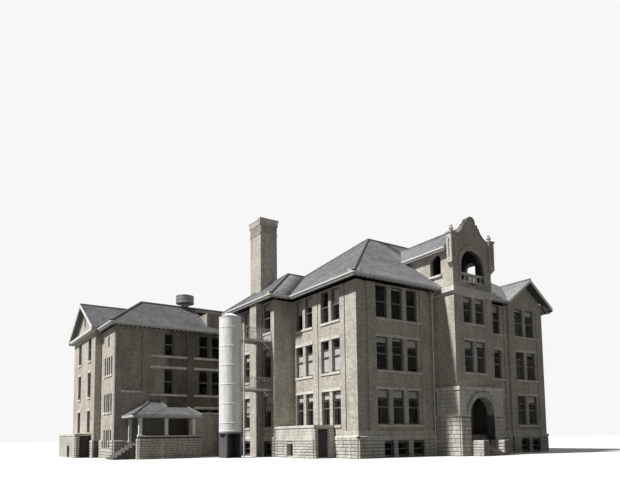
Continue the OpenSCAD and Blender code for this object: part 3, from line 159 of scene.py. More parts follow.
# Walls of pale buff pressed brick in running bond, laid in thin lime mortar.
# They carry the floors and roofs, and weather streaks run down from the eaves
# and the sills.
def wall_map(tree):
    """The object's place, and a flat pattern round the building: u along each wall, v up it."""
    place = wired(tree, "TexCoord", {})
    spot = wired(tree, "SeparateXYZ", {0: place["Object"]})
    facing = wired(tree, "SeparateXYZ", {0: place["Normal"]})
    across, along = [measured(tree, "ABSOLUTE", facing[axis], 0) for axis in ("X", "Y")]
    turned = measured(tree, "GREATER_THAN", across, along)
    run = wired(tree, "Mix", {"Factor": turned, "A": spot["X"], "B": spot["Y"]})
    return place["Object"], wired(tree, "CombineXYZ", {"X": run["Result"], "Y": spot["Z"]})[0]


def cloudy(tree, place, scale, detail=6.0, down=None):
    """A soft noise pattern, its scale in clouds a metre; down draws it out into runs down the wall."""
    if down:
        place = wired(tree, "Mapping", {"Vector": place, "Scale": (1, 1, down)})["Vector"]
    return wired(tree, "TexNoise", {"Vector": place, "Scale": scale, "Detail": detail})["Fac"]


def graded(tree, factor, low, high, dark, light):
    """Turns a pattern between two levels into a shade between dark and light."""
    return wired(tree, "MapRange", {"Value": factor, "From Min": low, "From Max": high, "To Min": dark,
                                    "To Max": light})["Result"]


def shaded(tree, colour, *shades):
    """Multiplies a colour by one or more grey patterns."""
    for shade in shades:
        colour = mixed(tree, 1.0, colour, shade, "MULTIPLY")
    return colour


def bumped(tree, *layers):
    """The normal of a surface with bump layers, each (height pattern, depth in metres)."""
    values = {"Strength": 1.0}
    for height, depth in layers:
        values.update({"Height": height, "Distance": depth})
        values["Normal"] = wired(tree, "Bump", values)["Normal"]
    return values["Normal"]


DULL = 0.15
MORTAR_SOFT, PALE_SHARE = 0.3, -0.15


def bonded(name, pale, deep, joint_colour, unit, joint, rough, stain):
    """Brick or slate units in running bond, with tinted units, joints and stains."""
    finish, tree, shader = node_finish(name)
    place, flat = wall_map(tree)
    bond = wired(tree, "TexBrick", {
        "Vector": flat, "Color1": (*pale, 1), "Color2": (*deep, 1), "Mortar": (*joint_colour, 1),
        "Scale": 1.0, "Mortar Size": joint / 2, "Mortar Smooth": MORTAR_SOFT, "Bias": PALE_SHARE,
        "Brick Width": unit[0], "Row Height": unit[1]})
    patches = graded(tree, cloudy(tree, place, 0.45), 0.3, 0.7, 1 - stain, 1 + stain / 2)
    streaks = graded(tree, cloudy(tree, place, 1.6, 5, 0.12), 0.35, 0.65, 1 - stain, 1.0)
    burnt = graded(tree, cloudy(tree, place, 4.5, 3), 0.35, 0.65, 0.86, 1.1)
    face = graded(tree, bond["Fac"], 0, 1, 1, 0)
    feed(tree, shader, {
        "Base Color": shaded(tree, bond["Color"], patches, streaks, burnt),
        "Roughness": rough, "Specular IOR Level": DULL,
        "Normal": bumped(tree, (face, joint / 2), (cloudy(tree, place, 90, 8), 0.0015))})
    return finish


def dress(finish, *names):
    """Gives CAD nodes their finish."""
    for name in names:
        slots = nodes[name].data.materials
        slots.clear()
        slots.append(finish)


BRICK = (0.215, 0.065)
buff_brick = bonded("buff_brick", (0.620, 0.578, 0.500), (0.410, 0.376, 0.320), (0.52, 0.50, 0.45),
                    BRICK, 0.01, 0.85, 0.16)
# A darker copy of the brick is painted shade, laid on walls that stand in shade: the wing, the link bay and
# the side vestibule.
shade_brick = bonded("shade_painted_brick", (0.430, 0.400, 0.345), (0.300, 0.275, 0.235), (0.38, 0.36, 0.33),
                     BRICK, 0.012, 0.88, 0.2)
dress(buff_brick, "front_wall", "pavilion_wall", "left_side_wall", "rear_side_walls", "right_side_wall",
      "back_wall", "tower_walls", "chimney_shaft", "wing_corner_wall", "wing_gable_wall", "corner_piers",
      "link_annex")
dress(shade_brick, "wing_rear_walls", "link_bay", "vestibule_wall")

# The wing's front is of the same darker brick, with painted shade where it runs into the corner by the
# chimney. Painted shade also darkens the belfry's brick inside.
NO_SHADE_TO, FULL_SHADE_FROM = -13.4, -12.9
BELFRY_X, BELFRY_Y = 6.64, -15.8
BELFRY_HALF = 2.0


def shade_painted(name, finish, shade_pattern):
    """A copy of a finish, darkened with painted shade by the pattern given for the object's axes."""
    copy = finish.copy()
    copy.name = name
    tree = copy.node_tree
    axes = wired(tree, "SeparateXYZ", {0: wired(tree, "TexCoord", {})["Object"]})
    colour = tree.nodes["Principled BSDF"].inputs["Base Color"]
    unshaded_colour = colour.links[0].from_socket
    tree.links.new(shaded(tree, unshaded_colour, shade_pattern(tree, axes)), colour)
    return copy


def wing_corner_shade(tree, axes):
    """Painted shade: none on the left, and dark from there to the corner."""
    return graded(tree, axes["X"], NO_SHADE_TO, FULL_SHADE_FROM, 1.0, 0.45)


def belfry_inner_shade(tree, axes):
    """Painted shade: dark between the belfry's walls, from behind the face of its front wall."""
    aside = measured(tree, "ABSOLUTE", measured(tree, "SUBTRACT", axes["X"], BELFRY_X), 0)
    within = graded(tree, aside, BELFRY_HALF, BELFRY_HALF + 0.25, 1.0, 0.0)
    behind = graded(tree, axes["Y"], BELFRY_Y + 0.03, BELFRY_Y + 0.3, 0.0, 1.0)
    return graded(tree, measured(tree, "MULTIPLY", within, behind), 0, 1, 1.0, 0.22)


dress(shade_painted("corner_shaded_brick", shade_brick, wing_corner_shade), "wing_front_wall")
dress(shade_painted("belfry_shaded_brick", buff_brick, belfry_inner_shade), "belfry_front", "belfry_walls")


# Trim of smooth-sawn limestone: sills, bands, copings and the chimney cap. It is pale, fine-grained, and
# darker where rain leaves soot. Feet have worn the steps dark. The bedding between the split blocks is darker
# still, and is also painted dark for the shadow that the bulging faces cast into the joints.
def sawn_stone(name, colour, grain=1.0, dirt=0.22):
    """Fine-grained stone with clouded colour and soot under its edges."""
    finish, tree, shader = node_finish(name)
    place = wired(tree, "TexCoord", {})["Object"]
    blotches = graded(tree, cloudy(tree, place, 0.8), 0.3, 0.7, 1 - dirt, 1.05)
    specks = graded(tree, cloudy(tree, place, 30 * grain, 4), 0.3, 0.7, 0.9, 1.06)
    runs = graded(tree, cloudy(tree, place, 3.0, 4, 0.1), 0.35, 0.62, 1 - dirt, 1.0)
    pits, pores = cloudy(tree, place, 14 * grain, 6), cloudy(tree, place, 120, 3)
    feed(tree, shader, {
        "Base Color": shaded(tree, (*colour, 1), blotches, specks, runs), "Roughness": 0.82,
        "Specular IOR Level": DULL, "Normal": bumped(tree, (pits, 0.006), (pores, 0.0012))})
    return finish


limestone = sawn_stone("limestone", (0.74, 0.71, 0.64))
rough_stone = sawn_stone("rough_limestone", (0.66, 0.63, 0.56), 0.5, 0.24)
# The bedding's dark tone is partly its own colour and partly painted shadow in the joints.
bedding_with_joint_shadow = sawn_stone("stone_joints_shadow", (0.17, 0.163, 0.147), 1.0, 0.3)
dress(limestone, "stone_sills", "entrance_band", "string_course", "belfry_balustrade", "chimney_cap",
      "side_vestibule_coping", "wing_annex_coping")
dress(rough_stone, "side_vestibule")
dress(bedding_with_joint_shadow, "main_stone_base", "wing_stone_base", "wing_annex", "porch_base", "entrance_piers")
dress(sawn_stone("trodden_stone", (0.36, 0.345, 0.31), 1.2, 0.35), "entrance_steps")
dress(sawn_stone("arch_joints", (0.47, 0.45, 0.405), 1.0, 0.25), "entrance_arch")

# Floors and bridge decks of plain concrete, cast on boards, inside the
# building and on the way to the slide.
dress(sawn_stone("cast_concrete", (0.42, 0.41, 0.39), 1.5, 0.15), "main_floors", "wing_floors",
      "fire_balconies")


# Paint on wood and steel: white on the cornice and the porch posts, dark on
# the sashes and doors, grey on the railings and pipes, pale on the slide.
# Brush marks and grime in the corners keep it from looking new.
def painted(name, colour, rough, grime=0.12, depth=0.0008, metal=0.0):
    """Brushed paint with faint marks and grime."""
    finish, tree, shader = node_finish(name)
    place = wired(tree, "TexCoord", {})["Object"]
    old = graded(tree, cloudy(tree, place, 2.2), 0.3, 0.75, 1 - grime, 1.03)
    runs = graded(tree, cloudy(tree, place, 5.0, 5, 0.08), 0.35, 0.6, 1 - grime, 1.0)
    feed(tree, shader, {
        "Base Color": shaded(tree, (*colour, 1), old, runs), "Roughness": rough, "Metallic": metal,
        "Normal": bumped(tree, (cloudy(tree, place, 40, 4, 0.15), depth))})
    return finish


white_paint = painted("white_joinery", (0.76, 0.755, 0.73), 0.45)
dress(white_paint, "porch_posts", "wing_cornice")
sash_paint = painted("sash_paint", (0.150, 0.142, 0.130), 0.5)
dress(sash_paint, "main_window_frames", "wing_window_frames")
dark_door = painted("door_paint", (0.050, 0.046, 0.042), 0.7)
feed(dark_door.node_tree, dark_door.node_tree.nodes["Principled BSDF"], {"Specular IOR Level": 0.25})
dress(dark_door, "entrance_doors", "side_door", "wing_door")
sheet_steel = painted("painted_steel", (0.66, 0.66, 0.645), 0.5, 0.2, 0.0015, 0.15)
dress(sheet_steel, "balcony_braces", "balcony_railings", "downpipes")
slide_paint = painted("slide_paint", (0.84, 0.84, 0.82), 0.55, 0.14, 0.0015)
dress(slide_paint, "slide_tube", "slide_tube_cap")
dress(painted("slide_foot_paint", (0.13, 0.13, 0.125), 0.55, 0.2, 0.0015), "slide_tube_base")
galvanized = painted("galvanized_sheet", (0.25, 0.25, 0.25), 0.45, 0.3, 0.001, 0.3)
dress(galvanized, "roof_ventilator")

# Window glass in thin drawn sheets, slightly wavy, held in the sashes, with
# dark rooms behind it.
glass, glass_tree, glass_shader = node_finish("window_glass")
glass_waves = cloudy(glass_tree, wired(glass_tree, "TexCoord", {})["Object"], 2.5, 2)
feed(glass_tree, glass_shader, {
    "Base Color": (0.012, 0.014, 0.016, 1), "Roughness": 0.06, "IOR": 1.5, "Specular IOR Level": 0.25,
    "Alpha": 0.14, "Normal": bumped(glass_tree, (glass_waves, 0.004))})
dress(glass, "main_window_glass", "wing_window_glass")


# Rock-faced limestone at the foot of the walls: squared blocks in level
# courses, each split to a rough bulging face with a sawn margin at its joints.
CORNER_X, CORNER_Y = -4.36, -13.65
UP = Vector((0, 0, 1))
STONE = (0.6, 0.11, 0.262)
STONE_GAP = 0.02
ROCK_OUT, ROCK_DEPTH = 0.035, 0.02
SAWN_MARGIN, KEPT_MARGIN = 0.018, 0.05


def here(x, y, z=0.0):
    """A place measured from the street corner of the main block, in the frame."""
    return Vector((x + CORNER_X, y + CORNER_Y, z))


def started(name, size):
    """A block at its size, to shape a pattern piece from."""
    bpy.ops.mesh.primitive_cube_add(size=1, scale=size)
    block = bpy.context.object
    block.name = name
    bpy.ops.object.transform_apply(location=False, rotation=False, scale=True)
    return block


def pick(piece, kind, test):
    """Selects the faces or edges that a test on the mesh accepts, and nothing else, in edit mode."""
    bpy.ops.object.mode_set(mode="EDIT")
    bpy.ops.mesh.select_mode(type=kind)
    bpy.ops.object.mode_set(mode="OBJECT")
    mesh = piece.data
    for things in (mesh.vertices, mesh.edges, mesh.polygons):
        things.foreach_set("select", [False] * len(things))
    chosen = mesh.polygons if kind == "FACE" else mesh.edges
    chosen.foreach_set("select", [bool(test(thing)) for thing in chosen])
    bpy.ops.object.mode_set(mode="EDIT")


def pick_faces(piece, wanted):
    """Selects the faces that a test accepts."""
    pick(piece, "FACE", wanted)


def pick_edges(piece, wanted):
    """Selects the edges whose two ends a test accepts."""
    pick(piece, "EDGE", lambda edge: all(wanted(piece.data.vertices[i].co) for i in edge.vertices))


def outer(face):
    """A face that looks out of the wall, along -Y."""
    return face.normal.y < -0.9


def pattern_stone(name, size, bulge):
    """One block of the given size, split roughly on its outer face."""
    block = started(name, size)
    pick_faces(block, lambda f: f.normal.y > 0.9)
    bpy.ops.mesh.delete(type="FACE")
    pick_faces(block, outer)
    bpy.ops.mesh.inset(thickness=SAWN_MARGIN, depth=0)
    bpy.ops.transform.translate(value=(0, -bulge, 0))
    bpy.ops.mesh.inset(thickness=0.03, depth=bulge / 2)
    bpy.ops.mesh.subdivide(number_cuts=2)
    bpy.ops.object.mode_set(mode="OBJECT")
    return block


def stretched(co, old, new):
    """Moves a corner out to a new size, so that margins and bevels keep their width."""
    out = []
    for c, a, b in zip(co, old, new):
        edge = a / 2 - KEPT_MARGIN
        if abs(c) < edge:
            out.append(c * (b / 2 - KEPT_MARGIN) / edge)
        else:
            out.append(math.copysign(abs(c) + (b - a) / 2, c))
    return Vector(out)


def sides_of(mesh):
    """The faces of a mesh, each as the numbers of its corners."""
    return [list(f.vertices) for f in mesh.polygons]


def gathered(name, parts):
    """One mesh of several parts, each (its corners, its faces)."""
    verts, faces = [], []
    for corners, sides in parts:
        start = len(verts)
        verts += corners
        faces += [[i + start for i in side] for side in sides]
    mesh = bpy.data.meshes.new(name)
    mesh.from_pydata(verts, [], faces)
    return mesh


def copied(pattern, old, places):
    """A mesh with one copy of a pattern piece for each (middle, size, turn in degrees or a matrix)."""
    corners = [v.co.copy() for v in pattern.data.vertices]
    sides = sides_of(pattern.data)
    parts = []
    for middle, size, turn in places:
        spin = turn if isinstance(turn, Matrix) else Matrix.Rotation(math.radians(turn), 3, "Z")
        parts.append(([spin @ stretched(c, old, size) + middle for c in corners], sides))
    return gathered(pattern.name, parts)


def kept_inside(mesh):
    """Holds a mesh inside the size of the building."""
    for spot in mesh.vertices:
        spot.co = [min(max(c, a), b) for c, a, b in zip(spot.co, *cad_box)]


def fixed(mesh, name, finish, slot, body=ROOT, *replaced):
    """Puts a finished mesh in the model: its name, finish, body and the nodes it stands for. The slot is not
    used.
    """
    kept_inside(mesh)
    piece = put_in(name, mesh)
    mesh.materials.clear()
    mesh.materials.append(finish)
    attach(piece, body)
    if replaced:
        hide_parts(*replaced)
    return piece


def take_up(piece):
    """Makes a piece the only one that operators act on."""
    bpy.ops.object.select_all(action="DESELECT")
    bpy.context.view_layer.objects.active = piece
    piece.select_set(True)


def weathered(piece, pattern, strength, grain):
    """Breaks up the split faces of copied blocks with clouds of displacement, then applied."""
    clouds = bpy.data.textures.new(piece.name, "CLOUDS")
    clouds.noise_scale = grain
    clouds.noise_depth = 2
    corners = pattern.data.vertices
    front = min(v.co.y for v in corners)
    rough = [v.index for v in corners if v.co.y < front + ROCK_DEPTH]
    starts = range(0, len(piece.data.vertices), len(corners))
    group = piece.vertex_groups.new(name="face")
    group.add([start + i for start in starts for i in rough], 1.0, "REPLACE")
    take_up(piece)
    rock = piece.modifiers.new("rock", "DISPLACE")
    rock.texture = clouds
    rock.texture_coords = "LOCAL"
    rock.vertex_group = "face"
    rock.strength = strength
    rock.mid_level = 0.5
    bpy.ops.object.modifier_apply(modifier="rock")
    piece.vertex_groups.clear()
    kept_inside(piece.data)


SHORTEST, LONGEST, LAST_SHARE = 0.42, 0.95, 0.7
LEAST_GAP, LEAST_LAP = 0.12, 0.02
stone_rng = random.Random(14)


def courses(length, foot, head, openings, height):
    """Block spans along a wall, in level courses, clear of the openings."""
    count = max(1, round((head - foot) / height))
    rise = (head - foot) / count
    for row in range(count):
        low, high = foot + row * rise, foot + (row + 1) * rise
        cuts = sorted((a, b) for a, b, sill, lintel in openings
                      if sill < high - LEAST_LAP and lintel > low + LEAST_LAP)
        start = 0.0
        for a, b in cuts + [(length, length)]:
            while a - start > LEAST_GAP:
                run = stone_rng.uniform(SHORTEST, LONGEST)
                end = a if a - start < run + SHORTEST * LAST_SHARE else start + run
                yield start, end, low, high
                start = end
            start = max(start, b)


def heading(left, right):
    """The way along a wall, the way it faces, and its turn in degrees."""
    along = (right - left).normalized()
    return along, Vector((along.y, -along.x, 0)), math.degrees(math.atan2(along.y, along.x))


def stone_run(left, right, foot, head, openings, height, depth, out):
    """Blocks along a wall, seen from outside from its left to its right end."""
    along, outward, turn = heading(left, right)
    for a, b, low, high in courses((right - left).length, foot, head, openings, height):
        middle = left + along * ((a + b) / 2) + outward * (out - depth / 2)
        size = (b - a - STONE_GAP, depth, high - low - STONE_GAP)
        yield Vector((middle.x, middle.y, (low + high) / 2)), size, turn


def walled(block, old, course, out, runs, name, finish):
    """Fixes courses of blocks along walls, each (left end, right end, foot, head, openings)."""
    places = [place for run in runs for place in stone_run(*run, course, old[1], out)]
    return fixed(copied(block, old, places), name, finish, "limestone")


rock_block = pattern_stone("rock_block", STONE, 0.045)


def rock_faced(name, runs, course, strength, grain):
    """Fixes split blocks along walls, and breaks up their faces."""
    stones = walled(rock_block, STONE, course, ROCK_OUT, runs, name, rough_stone)
    weathered(stones, rock_block, strength, grain)


BASE_TOP = 1.6
LOW_FOOT, LOW_HEAD = 0.15, 1.20


def lights(middles, width, start=0.0, foot=LOW_FOOT, head=LOW_HEAD):
    """Openings of one width along a wall that begins at start."""
    return [(m - width / 2 - start, m + width / 2 - start, foot, head) for m in middles]


def grounded(left, right, openings=(), head=BASE_TOP):
    """A run of blocks from the ground up: its ends seen from outside, its openings and its head."""
    return here(*left), here(*right), 0.0, head, openings


main_runs = [
    grounded((-0.06, -0.06), (8.29, -0.06),
             lights([2.965], 0.97, -0.06) + lights([4.47], 1.16, -0.06) + lights([6.16], 1.18, -0.06)),
    grounded((13.71, -0.06), (18.2, -0.06), lights([14.95, 16.65], 1.1, 13.71)),
    grounded((18.2, -0.21), (23.46, -0.21), lights([19.85, 21.55], 1.2, 18.2)),
    grounded((-0.06, 2.98), (-0.06, -0.06)),
    grounded((-2.04, 16.34), (-2.04, 8.97), lights([16.34 - 14.05], 1.5) + lights([16.34 - 10.15], 1.3)),
    grounded((23.46, -0.21), (23.46, 16.86), lights([3.4, 8.4, 13.4], 1.3, -0.21)),
    grounded((23.46, 16.86), (9.1, 16.86), lights([23.46 - x for x in (12, 16.2, 20.4)], 1.3)),
]
rock_faced("base_stones", main_runs, STONE[2], 0.075, 0.16)


# A sloping water table of sawn stone caps the split courses of the main block
# and throws the rain clear of them.
def block_eased(name, size, wanted, offset, segments=1, profile=0.5):
    """A block with a bevel along the edges whose ends a test accepts."""
    block = started(name, size)
    pick_edges(block, wanted)
    bpy.ops.mesh.bevel(offset=offset, segments=segments, profile=profile)
    bpy.ops.object.mode_set(mode="OBJECT")
    return block


def spanned(left, right, height, size, longer=0.0, out=0.0):
    """The place of one long piece from end to end of a wall: its middle, size and turn."""
    _, outward, turn = heading(left, right)
    middle = left.lerp(right, 0.5) + outward * out
    return Vector((middle.x, middle.y, height)), ((right - left).length + longer, *size[1:]), turn


def laid(pattern, old, places, name, finish, slot):
    """Fixes copies of a pattern piece as one piece, and clears the pattern away."""
    piece = fixed(copied(pattern, old, places), name, finish, slot)
    bpy.data.objects.remove(pattern)
    return piece


WATER_TABLE, TABLE_Z = (1.0, 0.2, 0.13), 1.64
table_places = [(here(4.06, -0.06, TABLE_Z), (8.44, *WATER_TABLE[1:]), 0),
                (here(16.0, -0.06, TABLE_Z), (4.58, *WATER_TABLE[1:]), 0)]
table_places += [spanned(*run[:2], TABLE_Z, WATER_TABLE, 0.2) for run in main_runs[2:]]
laid(block_eased("water_table", WATER_TABLE, lambda spot: spot.y < 0 < spot.z, 0.055), WATER_TABLE,
     table_places, "water_table", limestone, "limestone")

# The wing stands on a base of the same split blocks, round the corner bay with
# its narrow windows and on to the back of the building.
wing_runs = [
    grounded((-13.56, 16.74), (-2.0, 16.74), lights([-5.175, -3.85, -2.54], 1.0, -13.56)),
    grounded((-13.56, 21.5), (-13.56, 16.74),
             lights([21.5 - y + s * 0.38 for y in (18.3, 19.7) for s in (-1, 1)], 0.46, 0.0, 0.86, 2.6)),
    grounded((-14.16, 30.76), (-14.16, 21.44), lights([30.76 - y for y in (23.7, 27.9)], 1.1)),
    grounded((9.06, 30.76), (-14.16, 30.76), lights([9.06 - x for x in (-11, -2, 6.5)], 1.3)),
    grounded((9.06, 16.86), (9.06, 30.76)),
]
rock_faced("wing_base_stones", wing_runs, STONE[2], 0.06, 0.16)

# The low side entries, the porch wall and the cheeks of the steps are built of
# the same split stone, in rougher courses, with a smooth coping on top.
ENTRY_COURSE = 0.225
entry_runs = [
    grounded((-1.98, 8.96), (-1.98, 3.0), lights([8.966 - 6.5], 0.9, 0.0, 0.15, 1.15), 1.55),
    grounded((-1.98, 3.0), (-1.64, 3.0), head=2.35),
    grounded((-0.67, 3.0), (-0.1, 3.0), head=2.35),
    grounded((-15.5, 30.0), (-15.5, 22.5), lights([30.0 - 25.4], 1.0, 0.0, 0.1, 1.05), 2.0),
    grounded((-15.5, 22.5), (-15.13, 22.5), head=2.0),
    grounded((-14.16, 30.0), (-15.5, 30.0), head=2.0),
    grounded((-12.4, 13.4), (-6.9, 13.4), head=1.7),
    grounded((-12.4, 13.85), (-12.4, 13.4), head=1.7),
    *[grounded((x, -2.62), (x, -3.89), head=1.15) for x in (9.5, 12.05)],
    *[grounded((x, -3.89), (x, -2.62), head=1.15) for x in (12.5, 9.95)],
]
rock_faced("entry_stones", entry_runs, ENTRY_COURSE, 0.075, 0.14)

# Entrance storey: big split blocks in the piers and side walls, up to the
# impost, and smooth blocks with fine joints above it.
IMPOST_FOOT, PIER_COURSE = 3.1, 0.345
pier_sides = [(here(8.3, -0.1), here(8.3, -2.6)), (here(13.7, -2.6), here(13.7, -0.1))]
pier_fronts = [(here(8.3, -2.6), here(9.5, -2.6)), (here(12.5, -2.6), here(13.7, -2.6))]
rock_faced("entrance_stones", [(*ends, 0.0, IMPOST_FOOT - 0.01, ()) for ends in pier_fronts + pier_sides],
           PIER_COURSE, 0.05, 0.2)
bpy.data.objects.remove(rock_block)

# Entrance arch: wedge-shaped split stones round the opening, and level courses
# of sawn blocks with fine joints beside and above them.
TOWER_MID, ENTRY_SPRING, BAND_FOOT, ARCH_R = 11.0, 3.3, 5.3, 1.5
WEDGES, WEDGE_OUT = 13, 0.03
WEDGE = (0.36, 0.1, 0.4)
wedge = pattern_stone("wedge", WEDGE, 0.02)
ring_middle = here(TOWER_MID, -2.65, ENTRY_SPRING)
ring_step = math.pi / WEDGES
ring_parts = []
for i in range(WEDGES):
    corners = []
    for v in wedge.data.vertices:
        angle = (i + 0.5) * ring_step - v.co.x / WEDGE[0] * (ring_step - STONE_GAP / ARCH_R)
        reach = ARCH_R + WEDGE[2] / 2 + v.co.z
        corners.append(ring_middle + Vector((reach * math.cos(angle), v.co.y + WEDGE[1] / 2 - WEDGE_OUT,
                                             reach * math.sin(angle))))
    ring_parts.append((corners, sides_of(wedge.data)))
arch_stones = fixed(gathered("wedge", ring_parts), "arch_stones", rough_stone, "limestone")
weathered(arch_stones, wedge, 0.035, 0.15)
bpy.data.objects.remove(wedge)

SAWN, SAWN_OUT = (0.7, 0.05, 0.333), 0.012
sawn_block = pattern_stone("sawn_block", SAWN, 0.005)
PORCH_HALF, SAWN_ROWS, CLEAR_R = 2.7, 6, ARCH_R + WEDGE[2] + 0.02
arch_gaps = []
for row in range(SAWN_ROWS):
    up = row * SAWN[2]
    half = math.sqrt(CLEAR_R ** 2 - up ** 2)
    low, high = ENTRY_SPRING + up + 0.03, ENTRY_SPRING + up + SAWN[2] - 0.03
    arch_gaps.append((PORCH_HALF - half, PORCH_HALF + half, low, high))
sawn_runs = [(here(8.3, -2.6), here(13.7, -2.6), ENTRY_SPRING, BAND_FOOT, arch_gaps)]
sawn_runs += [(*ends, ENTRY_SPRING, BAND_FOOT, ()) for ends in pier_sides]
walled(sawn_block, SAWN, SAWN[2], SAWN_OUT, sawn_runs, "sawn_stones", limestone)

# A few courses of the same sawn blocks lie between the split base and the
# brick, and above the split courses of the low side entry.
ASHLAR_FOOT, ASHLAR_HEAD, ASHLAR_COURSE = 1.61, 2.08, 0.25
ashlar_runs = [(here(*left), here(*right), ASHLAR_FOOT, ASHLAR_HEAD, ()) for left, right in (
    ((0, 2.98), (0, 0)), ((0, 0), (8.29, 0)), ((13.71, 0), (18.2, 0)), ((18.2, -0.15), (23.4, -0.15)),
    ((23.4, -0.15), (23.4, 16.8)), ((23.4, 16.8), (9.1, 16.8)))]
ashlar_runs += [(here(-1.98, 16.3), here(-1.98, 9.03), ASHLAR_FOOT, ASHLAR_HEAD,
                 lights([16.3 - 11.705], 1.25, 0.0, 1.6, 2.1)),
                (here(-1.98, 8.96), here(-1.98, 3.0), 1.56, 2.34, ())]
walled(sawn_block, SAWN, ASHLAR_COURSE, SAWN_OUT, ashlar_runs, "ashlar_course", rough_stone)
bpy.data.objects.remove(sawn_block)

# The curved parapet of the belfry is closed with a thin stone coping that
# overhangs both faces of the wall. Soot has blackened it.
PARAPET_FOOT, WALL_MIDDLE_Y = 18.32, -1.9 + CORNER_Y
OVERHANG, COPING_T = 1.25, 0.07


def merged(node, name):
    """A copy of a CAD node with its doubles merged, in edit mode and selected all over."""
    piece = put_in(name, nodes[node].data.copy())
    take_up(piece)
    bpy.ops.object.mode_set(mode="EDIT")
    bpy.ops.mesh.select_mode(type="FACE")
    bpy.ops.mesh.select_all(action="SELECT")
    bpy.ops.mesh.remove_doubles(threshold=0.0005)
    return piece


def thickened(piece, thickness, offset=-1.0):
    """Gives a sheet its thickness, inwards, or outwards where the offset is 1."""
    plate = piece.modifiers.new("plate", "SOLIDIFY")
    plate.thickness = thickness
    plate.offset = offset
    bpy.ops.object.modifier_apply(modifier="plate")


def mesh_of(piece):
    """The mesh of a shaped object, which is then cleared away."""
    mesh = piece.data.copy()
    bpy.data.objects.remove(piece)
    return mesh


coping = merged("belfry_front", "coping")
pick_faces(coping, lambda f: not (f.center.z > PARAPET_FOOT and abs(f.normal.y) < 0.5 and f.normal.z > -0.5))
bpy.ops.mesh.delete(type="FACE")
bpy.ops.object.mode_set(mode="OBJECT")
for v in coping.data.vertices:
    v.co.y = WALL_MIDDLE_Y + (v.co.y - WALL_MIDDLE_Y) * OVERHANG
thickened(coping, COPING_T, 1.0)
sooty_stone = sawn_stone("sooty_stone", (0.20, 0.19, 0.17), 1.0, 0.35)
fixed(mesh_of(coping), "parapet_coping", sooty_stone, "limestone")

# The belfry arch has a round moulding that runs down both sides to the floor,
# and its side arches have thick sills with a weathered top.
BELFRY_SPRING, MOULDING_REACH, MOULDING_R, MOULDING_LEG = 15.8, 1.56, 0.06, 1.28


def pushed(step):
    """Extrudes what is selected by a step."""
    bpy.ops.mesh.extrude_region_move(TRANSFORM_OT_translate={"value": step})


bpy.ops.mesh.primitive_circle_add(vertices=12, radius=MOULDING_R, location=(MOULDING_REACH, 0, 0))
arch_roll = bpy.context.object
bpy.ops.object.transform_apply(location=True, rotation=False, scale=False)
bpy.ops.object.mode_set(mode="EDIT")
bpy.ops.mesh.select_all(action="SELECT")
bpy.ops.mesh.spin(steps=32, angle=math.pi, center=(0, 0, 0), axis=(0, 1, 0))
bpy.ops.object.mode_set(mode="OBJECT")
pick_edges(arch_roll, lambda spot: abs(spot.z) < 0.001)
pushed((0, 0, -MOULDING_LEG))
bpy.ops.mesh.select_all(action="SELECT")
bpy.ops.mesh.normals_make_consistent(inside=False)
bpy.ops.transform.translate(value=here(TOWER_MID, -2.18, BELFRY_SPRING))
bpy.ops.object.mode_set(mode="OBJECT")
fixed(mesh_of(arch_roll), "belfry_roll", limestone, "limestone").data.shade_smooth()

LEDGE, LEDGE_Z, LEDGE_IN = (1.5, 0.2, 0.17), 15.115, 0.03
laid(block_eased("ledge", LEDGE, lambda spot: spot.y < 0 < spot.z, 0.06, 3, 0.6), LEDGE,
     [(here(8.6 - LEDGE[1] / 2 + LEDGE_IN, -0.18, LEDGE_Z), LEDGE, -90),
      (here(13.4 + LEDGE[1] / 2 - LEDGE_IN, -0.18, LEDGE_Z), LEDGE, 90)],
     "belfry_sills", limestone, "limestone")

# Roofs of grey slate shingles, nailed to boards in even courses from the eaves
# up, each course lapping the one below, with a slip of slate edge showing.
SLATE, LIFT, UNDER = (0.26, 0.12), 0.022, 0.005
slate = bonded("roof_shingles", (0.235, 0.235, 0.240), (0.165, 0.166, 0.172), (0.07, 0.07, 0.072),
               SLATE, 0.006, 0.7, 0.22)
# The main block, its bay and the tower take a paler copy of the slate: partly a paler slate, and partly
# painted sheen on those slopes.
pale_sheen_shingles = bonded("pale_sheen_shingles", (0.40, 0.40, 0.405), (0.30, 0.301, 0.307), (0.12, 0.12, 0.122),
                       SLATE, 0.006, 0.7, 0.22)


def cut(at, facing, **clear):
    """Cuts the whole piece in hand along a plane, in edit mode."""
    bpy.ops.object.mode_set(mode="EDIT")
    bpy.ops.mesh.select_all(action="SELECT")
    bpy.ops.mesh.bisect(plane_co=at, plane_no=facing, **clear)


def slated(node, finish):
    """Slates one roof: its upper faces are cut into courses and each course is tilted."""
    low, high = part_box(node)
    piece = merged(node, node + "_slates")
    pick_faces(piece, lambda f: f.normal.z < 0.3)
    bpy.ops.mesh.delete(type="FACE")
    bpy.ops.mesh.select_all(action="SELECT")
    bpy.ops.mesh.dissolve_limited(angle_limit=math.radians(0.5))
    for row in range(math.ceil(low.z / SLATE[1]), math.ceil(high.z / SLATE[1])):
        cut((0, 0, row * SLATE[1]), UP)
    bpy.ops.mesh.select_all(action="SELECT")
    bpy.ops.mesh.edge_split(type="EDGE")
    bpy.ops.object.mode_set(mode="OBJECT")
    mesh = piece.data
    for face in mesh.polygons:
        course = math.floor(face.center.z / SLATE[1])
        for i in face.vertices:
            spot = mesh.vertices[i]
            done = spot.co.z / SLATE[1] - course
            spot.co += face.normal * (UNDER + LIFT * (1 - done))
    for spot in mesh.vertices:
        spot.co.x = min(max(spot.co.x, low.x), high.x)
        spot.co.y = min(max(spot.co.y, low.y), high.y)
    thickened(piece, LIFT)
    fixed(mesh_of(piece), node + "_slates", finish, "roof_shingles")


for roof in ("main_roof", "pavilion_roof", "tower_roof"):
    slated(roof, pale_sheen_shingles)
for roof in ("wing_roof", "wing_gable_roof", "porch_roof"):
    slated(roof, slate)

